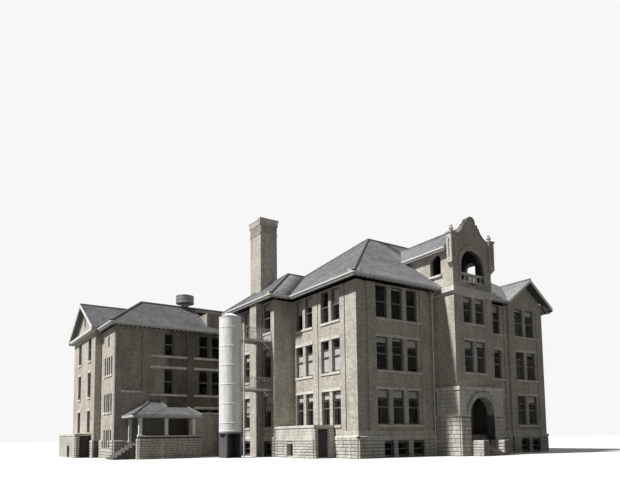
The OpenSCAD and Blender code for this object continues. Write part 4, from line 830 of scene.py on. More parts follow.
# Ridges and hips are closed with half-round stoneware tiles bedded in mortar,
# each tucked under the collar of the next one up.
RIDGE_STEP, CAP, CAP_R = 0.42, (0.46, 0.23, 0.23), 0.115
CAP_FOOT, COLLAR_FROM, COLLAR_WIDER = -0.045, 0.15, 1.14
bpy.ops.mesh.primitive_cylinder_add(vertices=20, radius=CAP_R, depth=CAP[0], end_fill_type="NOTHING",
                                    rotation=(0, math.radians(90), 0))
cap_tile = bpy.context.object
bpy.ops.object.transform_apply(location=False, rotation=True, scale=False)
cut((0, 0, CAP_FOOT), UP, clear_inner=True)
cut((COLLAR_FROM, 0, 0), (1, 0, 0))
pick_faces(cap_tile, lambda f: f.center.x > COLLAR_FROM + 0.01)
bpy.ops.transform.resize(value=(1, COLLAR_WIDER, COLLAR_WIDER))
bpy.ops.object.mode_set(mode="OBJECT")
thickened(cap_tile, 0.016)
EAVES_Z, RIDGE_Z, STEP_RIDGE_Z, WING_RIDGE_Z = 14.07, 20.976, 17.612, 14.757
left_peak, right_peak = here(8.4, 8.4, RIDGE_Z), here(15.0, 8.4, RIDGE_Z)
step_peak, step_end = here(1.905, 12.915, STEP_RIDGE_Z), here(3.885, 12.915, STEP_RIDGE_Z)
wing_peak = here(-10.3, 20.0, WING_RIDGE_Z)
porch_back, porch_high = here(-10.3, 16.8, 5.13), here(-9.6, 16.8, 5.13)
ridge_lines = [
    (left_peak, right_peak), (here(-0.87, -0.87, EAVES_Z), left_peak), (here(18.5, 4.9, 18.37), right_peak),
    (here(24.27, 17.67, EAVES_Z), right_peak), (here(-2.85, 17.67, EAVES_Z), step_peak),
    (here(-2.85, 8.16, EAVES_Z), step_peak), (step_peak, step_end), (step_end, left_peak),
    (here(11.0, -1.65, 19.6), here(11.0, 6.553, 19.6)),
    (here(20.7, -0.95, 16.518), here(20.7, 2.416, 16.518)),
    (wing_peak, here(9.5, 20.0, WING_RIDGE_Z)), (here(-14.0, 16.3, 12.0), wing_peak),
    (here(-12.57, 22.27, 13.06), wing_peak), (here(-14.6, 26.0, 15.25), here(9.5, 26.0, 15.25)),
    (here(-12.9, 13.2, 3.69), porch_back), (here(-9.4, 15.05, 4.43), porch_high),
    (here(-6.85, 13.2, 3.69), here(-7.45, 15.05, 4.43)),
]
cap_places = []
for start, end in ridge_lines:
    count = max(1, round((end - start).length / RIDGE_STEP))
    along = (end - start).normalized()
    side = UP.cross(along).normalized()
    spin = Matrix((along, side, along.cross(side))).transposed()
    size = ((end - start).length / count + CAP[0] - RIDGE_STEP, CAP[1], CAP[2])
    cap_places += [(start.lerp(end, (i + 0.5) / count), size, spin) for i in range(count)]
stoneware = sawn_stone("ridge_stoneware", (0.20, 0.20, 0.205), 1.5, 0.2)
laid(cap_tile, CAP, cap_places, "ridge_caps", stoneware, "roof_shingles")

# Eaves: rafter ends sawn to a curve show under the boards, which are pale at their edge. Their undersides are
# painted dark, as painted shade under the eaves.
deck, deck_tree, deck_shader = node_finish("roof_edge")
deck_place = wired(deck_tree, "TexCoord", {})
deck_up = wired(deck_tree, "SeparateXYZ", {0: deck_place["Normal"]})["Z"]
# Faces that look down get painted shade.
deck_underside_shade = graded(deck_tree, deck_up, -0.6, -0.3, 1.0, 0.0)
deck_colour = mixed(deck_tree, deck_underside_shade, (0.46, 0.455, 0.44, 1), (0.09, 0.085, 0.078, 1))
deck_dirt = graded(deck_tree, cloudy(deck_tree, deck_place["Object"], 1.8), 0.3, 0.7, 0.78, 1.04)
boards = deck_tree.nodes.new("ShaderNodeTexWave")
boards.bands_direction = "Z"
feed(deck_tree, boards, {"Scale": 3.0, "Vector": deck_place["Object"]})
feed(deck_tree, deck_shader, {
    "Base Color": shaded(deck_tree, deck_colour, deck_dirt), "Roughness": 0.6,
    "Normal": bumped(deck_tree, (boards.outputs["Fac"], 0.004))})
dress(deck, "main_roof", "pavilion_roof", "tower_roof", "porch_roof", "wing_roof", "wing_gable_roof")

EDGE_H = 0.3
MAIN_PITCH, TOWER_PITCH, WING_PITCH, GABLE_PITCH = 0.745, 0.793, 0.745, 0.5865
MAIN_EDGE, TOWER_EDGE = (EAVES_Z, MAIN_PITCH, 0.87), (17.3, TOWER_PITCH, 0.5)
WING_EDGE, GABLE_EDGE = (12.0, WING_PITCH, 0.5), (12.2, GABLE_PITCH, 0.5)
eaves = [
    # (left end, right end, (top of the edge, rise of the roof, overhang), room for a gutter outside)
    (here(-0.87, -0.87), here(8.34, -0.87), MAIN_EDGE, True),
    (here(13.66, -0.87), here(17.3, -0.87), MAIN_EDGE, True),
    (here(-0.87, 8.16), here(-0.87, -0.87), MAIN_EDGE, True),
    (here(-2.85, 8.16), here(-0.87, 8.16), MAIN_EDGE, True),
    (here(-2.85, 16.78), here(-2.85, 8.16), MAIN_EDGE, True),
    (here(24.27, -0.6), here(24.27, 17.67), MAIN_EDGE, False),
    (here(24.27, 17.67), here(9.6, 17.67), MAIN_EDGE, True),
    (here(8.1, 3.3), here(8.1, -1.65), TOWER_EDGE, True),
    (here(13.9, -1.65), here(13.9, 3.3), TOWER_EDGE, True),
    (here(-14.0, 16.3), here(-2.9, 16.3), WING_EDGE, True),
    (here(-14.0, 20.7), here(-14.0, 16.3), WING_EDGE, True),
    (here(9.5, 31.2), here(-14.6, 31.2), GABLE_EDGE, False),
]
TAIL, TAIL_PITCH = (0.13, 0.6, 0.2), 0.42
TAIL_BACK, TAIL_SHORT, TAIL_UP = 0.12, 0.1, 0.01
tail = block_eased("tail", TAIL, lambda spot: spot.y < -0.2 and spot.z < 0, 0.11, 5, 0.35)
tail_parts = []
for left, right, (top, rise, overhang), _ in eaves:
    along, outward, _ = heading(left, right)
    count = int((right - left).length / TAIL_PITCH)
    for i in range(count):
        middle = left + along * ((right - left).length * (i + 0.5) / count)
        corners = []
        for v in tail.data.vertices:
            back = TAIL_BACK + (v.co.y + TAIL[1] / 2) * (overhang - TAIL_SHORT) / TAIL[1]
            spot = middle + along * v.co.x - outward * back
            under = top - EDGE_H + rise * back
            corners.append((spot.x, spot.y, under + v.co.z - TAIL[2] / 2 + TAIL_UP))
        tail_parts.append((corners, sides_of(tail.data)))
tail_paint = painted("rafter_paint", (0.56, 0.55, 0.52), 0.6)
fixed(gathered("rafter_ends", tail_parts), "rafter_ends", tail_paint, "white_joinery")
bpy.data.objects.remove(tail)

# A boxed gutter of painted sheet metal runs along the edge of the slates, or
# under the boards where the roof has no room for it.
GUTTER, GUTTER_LOWER, GUTTER_LONGER = (1.0, 0.11, 0.13), 0.03, 0.1
TROUGH_RIM, TROUGH_DEPTH = 0.012, 0.09
trough = started("trough", GUTTER)
pick_faces(trough, lambda f: f.normal.z > 0.9)
bpy.ops.mesh.inset(thickness=TROUGH_RIM, depth=0)
pushed((0, 0, -TROUGH_DEPTH))
pick_edges(trough, lambda spot: spot.y < -0.054 and spot.z < -0.06)
bpy.ops.mesh.bevel(offset=0.07, segments=5, profile=0.6)
bpy.ops.object.mode_set(mode="OBJECT")
gutter_places = []
for left, right, (top, _, _), outside in eaves:
    height = top - GUTTER[2] / 2 - (GUTTER_LOWER if outside else EDGE_H)
    out = GUTTER[1] / 2 if outside else -GUTTER[1] / 2
    gutter_places.append(spanned(left, right, height, GUTTER, GUTTER_LONGER, out))
laid(trough, GUTTER, gutter_places, "eave_gutters", white_paint, "painted_steel")


# The fire slide is a tube of rolled steel plates. The rings of plates are
# joined by straps with two rows of round-headed rivets.
SLIDE, SLIDE_R = here(-5.4, 10.7), 0.95
STRAP, STRAP_T = (2 * SLIDE_R, 2 * SLIDE_R, 0.13), 0.01
STRAP_Z = [2.25, 2.94, 4.58, 6.22, 7.86, 9.5, 11.14, 12.02]


def hoop(name, radius, height, thick, sides):
    """A flat hoop round something of a radius, with its rims eased."""
    bpy.ops.mesh.primitive_cylinder_add(vertices=sides, radius=radius + thick, depth=height,
                                        end_fill_type="NOTHING")
    band = bpy.context.object
    band.name = name
    for side in (-1, 1):
        cut((0, 0, side * (height / 2 - 0.8 * thick)), UP)
    bpy.ops.object.mode_set(mode="OBJECT")
    for v in band.data.vertices:
        if abs(v.co.z) > height / 2 - 0.001:
            v.co.x, v.co.y = [c * (radius - 0.002) / (radius + thick) for c in (v.co.x, v.co.y)]
    return band


laid(hoop("strap", SLIDE_R, STRAP[2], STRAP_T, 96), STRAP, [(SLIDE + UP * z, STRAP, 0) for z in STRAP_Z],
     "slide_straps", slide_paint, "painted_steel").data.shade_smooth()

RIVET, RIVETS, ROW_ASIDE, SEAM_RIVETS = 0.017, 54, 0.038, 15
HEAD = (2 * RIVET, 2 * RIVET, 2 * RIVET)
bpy.ops.mesh.primitive_uv_sphere_add(segments=8, ring_count=6, radius=RIVET)
rivet = bpy.context.object
cut((0, 0, 0), (0, 1, 0), clear_outer=True)
bpy.ops.object.mode_set(mode="OBJECT")


def on_tube(angle, out, height):
    """The place of a rivet on the tube, its size and its turn."""
    spot = SLIDE + Vector((math.sin(angle), -math.cos(angle), 0)) * (SLIDE_R + out)
    return spot + UP * height, HEAD, math.degrees(angle)


rivet_places = []
for z in STRAP_Z:
    for row in (-1, 1):
        rivet_places += [on_tube(2 * math.pi * (i + (row > 0) / 2) / RIVETS, STRAP_T, z + row * ROW_ASIDE)
                         for i in range(RIVETS)]
for ring, (low, high) in enumerate(zip(STRAP_Z[1:-1], STRAP_Z[2:])):
    seam = math.radians(-40 + 65 * (ring % 2))
    rivet_places += [on_tube(seam, -0.001, low + (high - low) * i / SEAM_RIVETS)
                     for i in range(1, SEAM_RIVETS)]
laid(rivet, HEAD, rivet_places, "slide_rivets", slide_paint, "painted_steel").data.shade_smooth()


# Each bridge to the slide is edged with steel channels and held at the slide
# by angle posts on foot plates.
def sunk_block(name, size, margin, depth):
    """A block whose outer face is sunk inside a margin."""
    block = started(name, size)
    pick_faces(block, outer)
    bpy.ops.mesh.inset(thickness=margin, depth=0)
    bpy.ops.transform.translate(value=(0, depth, 0))
    bpy.ops.object.mode_set(mode="OBJECT")
    return block


CHANNEL, BRIDGE = (1.0, 0.05, 0.15), (2.44, 0.05, 0.15)
laid(sunk_block("channel", CHANNEL, 0.014, 0.036), CHANNEL,
     [(here(-3.21, y, z), BRIDGE, turn) for z in (5.79, 10.09) for y, turn in ((9.5, 0), (11.07, 180))],
     "bridge_edges", sheet_steel, "painted_steel")

POST, POST_H = (0.1, 0.1, 1.0), 10.02
post = started("post", POST)
pick_faces(post, lambda f: f.normal.y > 0.9 or f.normal.x > 0.9)
bpy.ops.mesh.delete(type="FACE")
bpy.ops.object.mode_set(mode="OBJECT")
thickened(post, 0.012)
laid(post, POST,
     [(here(-4.75, y, POST_H / 2), (*POST[:2], POST_H), turn) for y, turn in ((9.4, 0), (11.17, -90))],
     "bridge_posts", sheet_steel, "painted_steel")

# Windows: double-hung sashes of pine in dark paint, each with a bead round its
# glass. Storm windows stand before the two lower storeys of the main block,
# with a transom, and below it on the first storey two upright bars.
ALONG_X, ALONG_Y = Vector((1, 0, 0)), Vector((0, 1, 0))
walls = {
    # (left end of the wall as seen from outside, direction along it)
    "front": (here(0, 0), ALONG_X),
    "gable_bay": (here(0, -0.15), ALONG_X),
    "tower": (here(0, -2.1), ALONG_X),
    "left": (here(0, 9.03), -ALONG_Y),
    "rear_left": (here(-1.98, 16.35), -ALONG_Y),
    "right": (here(23.4, 0), ALONG_Y),
    "back": (here(23.4, 16.8), -ALONG_X),
    "wing_front": (here(0, 16.8), ALONG_X),
    "wing_left": (here(-13.5, 21.5), -ALONG_Y),
    "wing_gable": (here(-14.1, 30.7), -ALONG_Y),
    "wing_back": (here(9.0, 30.7), -ALONG_X),
    "wing_right": (here(9.0, 16.804), ALONG_Y),
}
# The foot and the height of the windows of each storey.
STOREYS = [(2.57, 2.76), (6.84, 2.68), (11.0, 2.68)]
WING_STOREYS = [(2.34, 2.1), (5.75, 2.38), (9.3, 2.2)]
SASH_W, SASH_D, GLASS_T = 0.07, 0.08, 0.012
PLAIN, RECESSED = 0.13, 0.22


def group(wall, middles, width, storeys, inset):
    """Windows of one group: (wall, storey number, middle, foot, width, height, inset)."""
    return [(wall, storey, middle, foot, width, height, inset)
            for storey, (foot, height) in enumerate(storeys) for middle in middles]


def two(middle, pitch):
    """The middles of a pair of windows."""
    return (middle - pitch / 2, middle + pitch / 2)


window_groups = [
    # (wall, middles along it, width, storeys, how far the sashes stand behind its face)
    ("front", (2.66, 4.3, 5.94), 1.2, STOREYS, RECESSED),
    ("front", two(15.8, 1.64), 1.2, STOREYS, RECESSED),
    ("gable_bay", two(20.7, 1.7), 1.3, STOREYS, RECESSED),
    ("tower", two(11.0, 1.5), 1.1, [(6.84, 2.68), (11.0, 2.2)], PLAIN),
    *[("left", two(9.03 - y, 1.5), 1.1, STOREYS, PLAIN) for y in (3.42, 7.27)],
    ("rear_left", (16.35 - 10.32,), 1.36, STOREYS, PLAIN),
    ("rear_left", (16.35 - 14.15,), 1.1, STOREYS, PLAIN),
    *[("right", two(y, 1.64), 1.2, STOREYS, PLAIN) for y in (3.4, 8.4, 13.4)],
    *[("back", two(23.4 - x, 1.64), 1.2, STOREYS, PLAIN) for x in (12.0, 16.2, 20.4)],
    ("wing_front", (-5.175, -3.85, -2.54), 1.0, WING_STOREYS, RECESSED),
    ("wing_front", (-8.625,), 0.89, [(5.75, 2.35), (9.3, 2.1)], RECESSED),
    ("wing_left", [21.5 - y + s * 0.38 for y in (18.3, 19.7) for s in (-1, 1)], 0.46,
     [(0.86, 1.65), (4.11, 1.65), (7.46, 1.65)], PLAIN),
    ("wing_gable", (30.7 - 23.7, 30.7 - 27.9), 1.2, WING_STOREYS, PLAIN),
    *[("wing_back", two(9.0 - x, 1.6), 1.1, WING_STOREYS, PLAIN) for x in (-11.0, -6.5, -2.0, 2.5, 6.5)],
    *[("wing_right", two(y - 16.8, 1.6), 1.1, WING_STOREYS, PLAIN) for y in (20.5, 26.5)],
]
windows = [window for row in window_groups for window in group(*row)]


def on_wall(wall, along, out, height):
    """A place on a wall: along it from its left end, out from its face, and up."""
    start, run = walls[wall]
    return start + run * along + Vector((run.y, -run.x, 0)) * out + UP * height


def turn_of(wall):
    """The turn about Z that faces a piece out of a wall."""
    run = walls[wall][1]
    return math.degrees(math.atan2(run.y, run.x))


def tipped(wall, axis, degrees):
    """A turn about an axis of the piece, and then out of the wall."""
    return (Matrix.Rotation(math.radians(turn_of(wall)), 3, "Z")
            @ Matrix.Rotation(math.radians(degrees), 3, axis))


BEAD, BEAD_OUT = (1.0, 0.03, 1.0), 0.016
bead = started("bead", BEAD)
pick_faces(bead, lambda f: abs(f.normal.y) > 0.9)
bpy.ops.mesh.inset(thickness=0.022, depth=0)
bpy.ops.mesh.bridge_edge_loops()
pick_edges(bead, lambda spot: spot.y < -0.01 and max(abs(spot.x), abs(spot.z)) < 0.49)
bpy.ops.mesh.bevel(offset=0.012, segments=2)
bpy.ops.object.mode_set(mode="OBJECT")
bead_places = []
for wall, storey, middle, foot, width, height, inset in windows:
    light_h = (height - 3 * SASH_W) / 2
    for i in (0, 1):
        up = foot + SASH_W + i * (light_h + SASH_W) + light_h / 2
        spot = on_wall(wall, middle, BEAD_OUT - inset - SASH_D, up)
        bead_places.append((spot, (width - 2 * SASH_W, BEAD[1], light_h), turn_of(wall)))
laid(bead, BEAD, bead_places, "sash_beads", sash_paint, "sash_paint")

BAR, BAR_OUT, BARS_APART = (0.026, 0.03, 1.0), 0.022, 1 / 3.2
MAIN_WALLS = ("front", "gable_bay", "tower", "left", "rear_left", "right", "back")
TRANSOM, TRANSOM_W, TRANSOM_D, TRANSOM_OUT = 0.73, 0.055, 0.045, 0.02
bar_places = []
for wall, storey, middle, foot, width, height, inset in windows:
    if wall in MAIN_WALLS and storey < 2:
        spot = on_wall(wall, middle, TRANSOM_OUT - inset - SASH_D, foot + TRANSOM * height)
        bar_places.append((spot, (TRANSOM_W, TRANSOM_D, width - 2 * SASH_W), tipped(wall, "Y", 90)))
    if wall in MAIN_WALLS and storey == 0:
        for along in two(middle, width * BARS_APART):
            spot = on_wall(wall, along, BAR_OUT - inset - SASH_D, foot + TRANSOM / 2 * height)
            bar_places.append((spot, (*BAR[:2], TRANSOM * height - 2 * SASH_W), turn_of(wall)))
laid(block_eased("bar", BAR, lambda spot: spot.y < 0, 0.008, 2), BAR, bar_places, "storm_bars",
     sash_paint, "sash_paint")

# Slatted wooden blinds hang inside many of the windows, let down by different
# amounts. Their slats are painted pale. The wing has none on its front and
# left, and behind the main front's dark panes they are let down less.
SLAT, SLAT_PITCH, SLAT_TILT, SLAT_CROWN = (1.0, 0.042, 0.004), 0.036, 74, 0.004
BLIND_BEHIND, BLIND_BELOW, BLIND_NARROWER = 0.03, 0.06, 0.06
LET_DOWN = (0.0, 0.22, 0.3, 0.45, 0.5, 0.62)
NO_BLINDS = ("wing_front", "wing_left", "wing_gable")
DARK_WALLS = ("front", "gable_bay", "tower")
FAR_WALLS = ("right", "back", "wing_right", "wing_back")
slat = started("slat", SLAT)
cut((0, 0, 0), (0, 1, 0))
bpy.ops.object.mode_set(mode="OBJECT")
for v in slat.data.vertices:
    if abs(v.co.y) < 0.001:
        v.co.z += SLAT_CROWN
blind_rng = random.Random(31)
slat_places = []
low_lights = group("right", (3.4, 8.4, 13.4), 1.3, [(LOW_FOOT, 1.05)], 0.3)
low_lights += group("back", [23.4 - x for x in (12.0, 16.2, 20.4)], 1.3, [(LOW_FOOT, 1.05)], 0.3)
for wall, storey, middle, foot, width, height, inset in windows + low_lights:
    drop = blind_rng.choice(LET_DOWN) if width > 0.8 else 0.0
    below = 0.0
    if wall in DARK_WALLS:
        drop *= 0.35
    if storey == 0 and wall in ("left", "front"):
        drop = 0.22
    if storey == 1 and wall == "left":
        below, drop = 1 - TRANSOM, 0.66
    if wall in FAR_WALLS:
        drop = 0.98
    for i in range(0 if wall in NO_BLINDS else int(drop * height / SLAT_PITCH)):
        spot = on_wall(wall, middle, -(inset + SASH_D + GLASS_T + BLIND_BEHIND),
                       foot + height * (1 - below) - BLIND_BELOW - i * SLAT_PITCH)
        slat_places.append((spot, (width - BLIND_NARROWER, *SLAT[1:]), tipped(wall, "X", SLAT_TILT)))
pale_slat = painted("blind_paint", (0.94, 0.93, 0.90), 0.5, 0.04)
laid(slat, SLAT, slat_places, "window_blinds", pale_slat, "white_joinery")

# Rain goes from the gutters through bent necks into cast heads, and down two
# pipes held to the wall by hoops.
PIPE_R, PIPE_TOP = 0.055, 13.2
PIPE_HOOP = (2 * PIPE_R, 2 * PIPE_R, 0.05)
pipe_spots = [(here(-2.1, 15.1), -90), (here(8.09, -0.12), 0)]
laid(hoop("pipe_hoop", PIPE_R, PIPE_HOOP[2], 0.008, 24), PIPE_HOOP,
     [(spot + UP * z, PIPE_HOOP, 0) for spot, _ in pipe_spots for z in (2.4, 4.5, 6.6, 8.7, 10.8, 12.7)],
     "pipe_hoops", sheet_steel, "painted_steel").data.shade_smooth()

HEAD_BOX = (0.3, 0.22, 0.28)
rain_head = started("rain_head", HEAD_BOX)
pick_faces(rain_head, lambda f: f.normal.z < -0.9)
bpy.ops.transform.resize(value=(0.5, 0.6, 1))
pick_faces(rain_head, lambda f: f.normal.z > 0.9)
pushed((0, 0, 0.02))
bpy.ops.transform.resize(value=(1.14, 1.18, 1))
pushed((0, 0, 0.035))
bpy.ops.mesh.inset(thickness=0.015, depth=0)
pushed((0, 0, -0.05))
bpy.ops.object.mode_set(mode="OBJECT")
laid(rain_head, HEAD_BOX, [(spot + UP * PIPE_TOP, HEAD_BOX, turn) for spot, turn in pipe_spots],
     "rain_heads", sheet_steel, "painted_steel")

NECK = (2 * PIPE_R, 2 * PIPE_R, 0.1)
bpy.ops.mesh.primitive_circle_add(vertices=16, radius=PIPE_R, fill_type="NGON")
neck = bpy.context.object
bpy.ops.object.mode_set(mode="EDIT")
bpy.ops.mesh.select_all(action="SELECT")
for out, up in ((0, 0.05), (0.03, 0.04), (0.38, 0.3), (0.38, 0.3), (0.02, 0.04), (0, 0.06)):
    pushed((0, -out, up))
bpy.ops.mesh.select_all(action="SELECT")
bpy.ops.mesh.normals_make_consistent(inside=False)
bpy.ops.object.mode_set(mode="OBJECT")
laid(neck, NECK, [(spot + UP * (PIPE_TOP + 0.1), NECK, turn) for spot, turn in pipe_spots],
     "pipe_necks", sheet_steel, "painted_steel").data.shade_smooth()

# The belfry string course is carried by a coved bed mould round three sides of
# the tower, and the entrance arch springs from a like mould at its impost.
MOULD, MOULD_Z = (1.0, 0.13, 0.14), 13.43
IMPOST_H, IMPOST_Z = 0.22, 3.2
mould_places = [(here(x, y, MOULD_Z), (length, *MOULD[1:]), turn) for x, y, length, turn in (
    (11.0, -2.165, 5.06, 0), (8.535, -1.0, 2.2, -90), (13.465, -1.0, 2.2, 90))]
mould_places += [(here(x, y, IMPOST_Z), (length, MOULD[1], IMPOST_H), turn) for x, y, length, turn in (
    (8.89, -2.635, 1.26, 0), (13.11, -2.635, 1.26, 0), (8.265, -1.34, 2.72, -90), (13.735, -1.34, 2.72, 90))]
laid(block_eased("mould", MOULD, lambda spot: spot.y < 0 and spot.z < 0, 0.1, 4, 0.25), MOULD, mould_places,
     "tower_moulds", limestone, "limestone")

# The chimney ends in a frieze of brick ribs between two corbelled courses,
# under its stone cap.
RIB, RIB_Z, RIB_OUT = (0.11, 0.07, 0.76), 22.22, 0.015
BRICK_COURSE, CORNER_LAP = (1.0, 0.09, 0.13), 0.09
chimney = [here(-0.45, 14.15), here(1.40, 14.15), here(1.40, 16.25), here(-0.45, 16.25)]
rib_places, course_places = [], []
for left, right, count in zip(chimney, chimney[1:] + chimney[:1], (8, 9, 8, 9)):
    _, outward, turn = heading(left, right)
    rib_places += [(left.lerp(right, (i + 0.5) / count) + outward * RIB_OUT + UP * RIB_Z, RIB, turn)
                   for i in range(count)]
    course_places += [spanned(left, right, height, BRICK_COURSE, CORNER_LAP + 2 * out, out)
                      for height, out in ((21.78, 0.0), (22.665, 0.02), (22.735, 0.04))]
laid(block_eased("rib", RIB, lambda spot: spot.y < 0 and spot.z < 0, 0.05, 2), RIB, rib_places,
     "chimney_ribs", buff_brick, "buff_brick")
laid(block_eased("chimney_course", BRICK_COURSE, lambda spot: spot.y < 0, 0.012), BRICK_COURSE, course_places,
     "chimney_courses", buff_brick, "buff_brick")

# The ventilator drum is of galvanized sheet, stiffened by three rolled hoops
# and closed by a low cone.
VENT_FOOT = here(-5.9, 20.0, WING_EDGE[0] + WING_PITCH * (20.0 - 16.3))
VENT_HOOP = (1.75, 1.75, 0.07)
laid(hoop("vent_hoop", VENT_HOOP[0] / 2, VENT_HOOP[2], 0.025, 48), VENT_HOOP,
     [(VENT_FOOT + UP * z, VENT_HOOP, 0) for z in (0.42, 0.78, 1.11)],
     "ventilator_hoops", galvanized, "painted_steel").data.shade_smooth()

# The porch posts are square, with a base block and a moulded cap, and the
# ceiling between them is lined with narrow boards, stained dark.
COLLAR, COLLAR_UP, CAP_Z = (0.33, 0.33, 0.12), 0.12, 3.36
post_feet = [here(-12.215, 13.625, 1.9), here(-9.975, 13.625, 1.9), here(-7.535, 13.625, 1.9),
             here(-12.215, 16.525, 1.35)]
upturned = Matrix.Rotation(math.pi, 3, "X")
collar_places = [(foot + UP * COLLAR_UP, COLLAR, 0) for foot in post_feet]
collar_places += [(Vector((foot.x, foot.y, CAP_Z)), COLLAR, upturned) for foot in post_feet]
laid(block_eased("collar", COLLAR, lambda spot: spot.z > 0, 0.04, 3, 0.3), COLLAR, collar_places,
     "post_collars", white_paint, "white_joinery")

CEILING_BOARD, CEILING_Z = (1.0, 0.145, 0.02), 3.41
BOARDS, BOARD_PITCH, BOARD_LENGTH = 22, 0.1475, 5.7
dark_wood = painted("eave_paint", (0.17, 0.16, 0.145), 0.6)
laid(block_eased("ceiling_board", CEILING_BOARD, lambda spot: spot.z < 0, 0.008), CEILING_BOARD,
     [(here(-9.875, 13.4 + BOARD_PITCH * i, CEILING_Z), (BOARD_LENGTH, *CEILING_BOARD[1:]), 0)
      for i in range(BOARDS)],
     "porch_ceiling", dark_wood, "white_joinery")

# Sawn slabs cap the porch wall, the link's walls and the cheeks of the steps,
# their upper edges rounded.
WALL_CAP = (1.0, 0.36, 0.1)
cap_places = [(here(-9.65, 13.53, 1.9), (5.62, *WALL_CAP[1:]), 0),
              (here(-5.37, 16.3, 4.0), (3.2, 0.4, 0.14), 0),
              (here(-2.95, 15.4, 4.0), (1.92, 0.4, 0.14), 0),
              (here(9.725, -3.25, 1.2), (1.28, 0.6, 0.1), 90),
              (here(12.275, -3.25, 1.2), (1.28, 0.6, 0.1), 90)]
laid(block_eased("wall_cap", WALL_CAP, lambda spot: spot.z > 0, 0.025, 2), WALL_CAP, cap_places,
     "porch_and_link_caps", limestone, "limestone")

# The gables are closed under the slates by bargeboards with a sunk face,
# painted white, which run up both slopes to the ridge.
BARGE = (1.0, 0.05, 0.3)
barge = sunk_block("barge", BARGE, 0.045, 0.018)
gable_apex = GABLE_EDGE[0] + GABLE_PITCH * 5.2
bay_apex = EAVES_Z + 0.72 * 3.4
bay_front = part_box("pavilion_roof")[0][1] - CORNER_Y - 0.025
rakes = [(here(-14.625, 31.2, GABLE_EDGE[0]), here(-14.625, 26.0, gable_apex)),
         (here(-14.625, 26.0, gable_apex), here(-14.625, 20.8, GABLE_EDGE[0])),
         (here(17.3, bay_front, EAVES_Z), here(20.7, bay_front, bay_apex)),
         (here(20.7, bay_front, bay_apex), here(24.1, bay_front, EAVES_Z))]
barge_parts = []
for start, end in rakes:
    level = Vector((end.x - start.x, end.y - start.y, 0)).length
    along, outward, _ = heading(start, Vector((end.x, end.y, start.z)))
    rise = (end.z - start.z) / level
    corners = []
    for v in barge.data.vertices:
        co = stretched(v.co, BARGE, (level, *BARGE[1:]))
        reach = co.x + level / 2
        corners.append(start + along * reach - outward * co.y + UP * (co.z - BARGE[2] / 2 + rise * reach))
    barge_parts.append((corners, sides_of(barge.data)))
fixed(gathered("bargeboards", barge_parts), "bargeboards", white_paint, "white_joinery")
bpy.data.objects.remove(barge)


# Doors of dark oak: framed leaves with sunk panels on steel butts, each with a
# bronze knob on a long plate. The main doors have panes above the lock rail.
def door_leaf(name, low, high, across, up):
    """A framed leaf between two corners, with a sunk panel between each pair of lines."""
    leaf = started(name, high - low)
    leaf.location = (low + high) / 2
    bpy.ops.object.transform_apply(location=True, rotation=False, scale=False)
    for facing, lines in ((Vector((1, 0, 0)), across), (UP, up)):
        for line in sorted({c for pair in lines for c in pair}):
            cut(low + facing * line, facing)
    pick_faces(leaf, lambda f: abs(f.normal.y) > 0.9 and any(a < f.center.x - low.x < b for a, b in across)
               and any(a < f.center.z - low.z < b for a, b in up))
    for margin, depth in ((0.016, -0.014), (0.045, 0), (0.02, 0.008)):
        bpy.ops.mesh.inset(use_individual=True, thickness=margin, depth=depth)
    bpy.ops.object.mode_set(mode="OBJECT")
    return mesh_of(leaf)


KNUCKLE = (0.02, 0.02, 0.12)
bpy.ops.mesh.primitive_cylinder_add(vertices=16, radius=KNUCKLE[0] / 2, depth=KNUCKLE[2])
knuckle = bpy.context.object
for side in (-1, 1):
    pick_faces(knuckle, lambda f: f.normal.z * side > 0.9)
    bpy.ops.mesh.inset(thickness=0.003, depth=0)
    pushed((0, 0, side * 0.012))
    bpy.ops.mesh.inset(thickness=0.003, depth=0.003)
bpy.ops.object.mode_set(mode="OBJECT")

PLATE = (0.06, 0.008, 0.24)
knob_plate = block_eased("knob_plate", PLATE, lambda spot: spot.y < 0, 0.004, 2)
bpy.ops.mesh.primitive_cylinder_add(vertices=20, radius=0.01, depth=0.05, location=(0, -0.028, 0.04),
                                    rotation=(math.pi / 2, 0, 0))
knob = bpy.context.object
bpy.ops.object.transform_apply(location=True, rotation=True, scale=False)
pick_faces(knob, outer)
for push, widen in ((0.002, 2.4), (0.012, 1.25), (0.012, 0.85), (0.006, 0.5)):
    pushed((0, -push, 0))
    bpy.ops.transform.resize(value=(widen, 1, widen))
bpy.ops.object.mode_set(mode="OBJECT")
knob_plate.select_set(True)
bpy.context.view_layer.objects.active = knob_plate
bpy.ops.object.join()

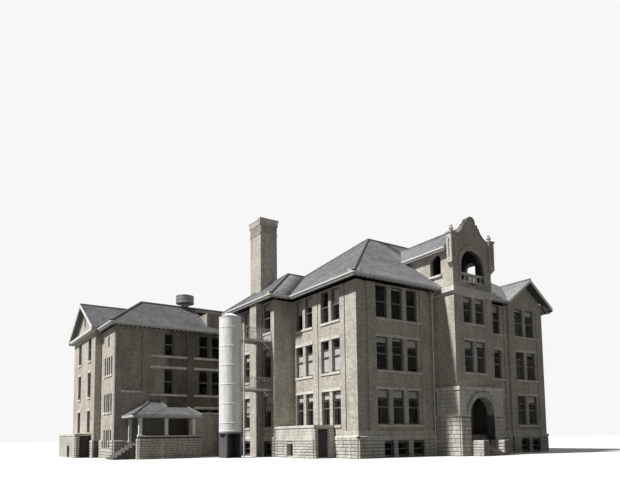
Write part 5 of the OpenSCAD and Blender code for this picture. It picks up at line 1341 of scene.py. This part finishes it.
bronze = painted("door_bronze", (0.22, 0.16, 0.09), 0.35, 0.2, 0.0005, 0.9)
STILE, HALF_MUNTIN, LEAF_BACK = 0.11, 0.045, 0.01
KNOB_IN, KNOB_UP, PLATE_OUT = 0.055, 0.95, PLATE[1] / 2
for body in ("side_door", "wing_door"):
    low, high = [Vector(c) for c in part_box(body)]
    low.y += LEAF_BACK
    width, height = high.x - low.x, high.z - low.z
    across = ((STILE, width / 2 - HALF_MUNTIN), (width / 2 + HALF_MUNTIN, width - STILE))
    leaf_mesh = door_leaf(body, low, high, across, ((0.22, 0.82), (1.04, height - 0.12)))
    fixed(leaf_mesh, body + "_leaf", dark_door, "door_paint", body, body)
    butt_places = [(low + Vector((KNUCKLE[0] / 2, 0, share * height)), KNUCKLE, 0)
                   for share in (0.12, 0.5, 0.88)]
    fixed(copied(knuckle, KNUCKLE, butt_places), body + "_butts", bronze, "painted_steel", body)
    knob_place = (low + Vector((width - KNOB_IN, -PLATE_OUT, KNOB_UP)), PLATE, 0)
    fixed(copied(knob_plate, PLATE, [knob_place]), body + "_knob", bronze, "painted_steel", body)
bpy.data.objects.remove(knuckle)

MAIN_LEAF, MAIN_KNOB_IN, MAIN_KNOB_UP = Vector((0.99, 0.06, 3.09)), 0.06, 1.08
MAIN_ACROSS, MAIN_UP = ((0.12, 0.455), (0.535, 0.87)), ((0.28, 0.98), (1.18, 2.04), (2.16, 2.94))
PANE = (0.335, 0.012, 1.0)
leaf_parts, knob_places, pane_places = [], [], []
for left, knob_in in ((10.006, MAIN_LEAF.x - MAIN_KNOB_IN), (11.004, MAIN_KNOB_IN)):
    low = here(left, 0.15, 1.7)
    leaf_mesh = door_leaf("entrance_leaf", low, low + MAIN_LEAF, MAIN_ACROSS, MAIN_UP)
    leaf_parts.append(([v.co.copy() for v in leaf_mesh.vertices], sides_of(leaf_mesh)))
    knob_places.append((low + Vector((knob_in, -PLATE_OUT, MAIN_KNOB_UP)), PLATE, 0))
    pane_places += [(low + Vector(((a + b) / 2, 0.002, (foot + head) / 2)), (*PANE[:2], head - foot), 0)
                    for a, b in MAIN_ACROSS for foot, head in MAIN_UP[1:]]
fixed(gathered("entrance_leaves", leaf_parts), "entrance_leaves", dark_door, "door_paint", ROOT,
      "entrance_doors")
laid(knob_plate, PLATE, knob_places, "entrance_knobs", bronze, "painted_steel")
laid(sunk_block("pane", PANE, 0.018, 0.006), PANE, pane_places, "entrance_panes", glass, "window_glass")
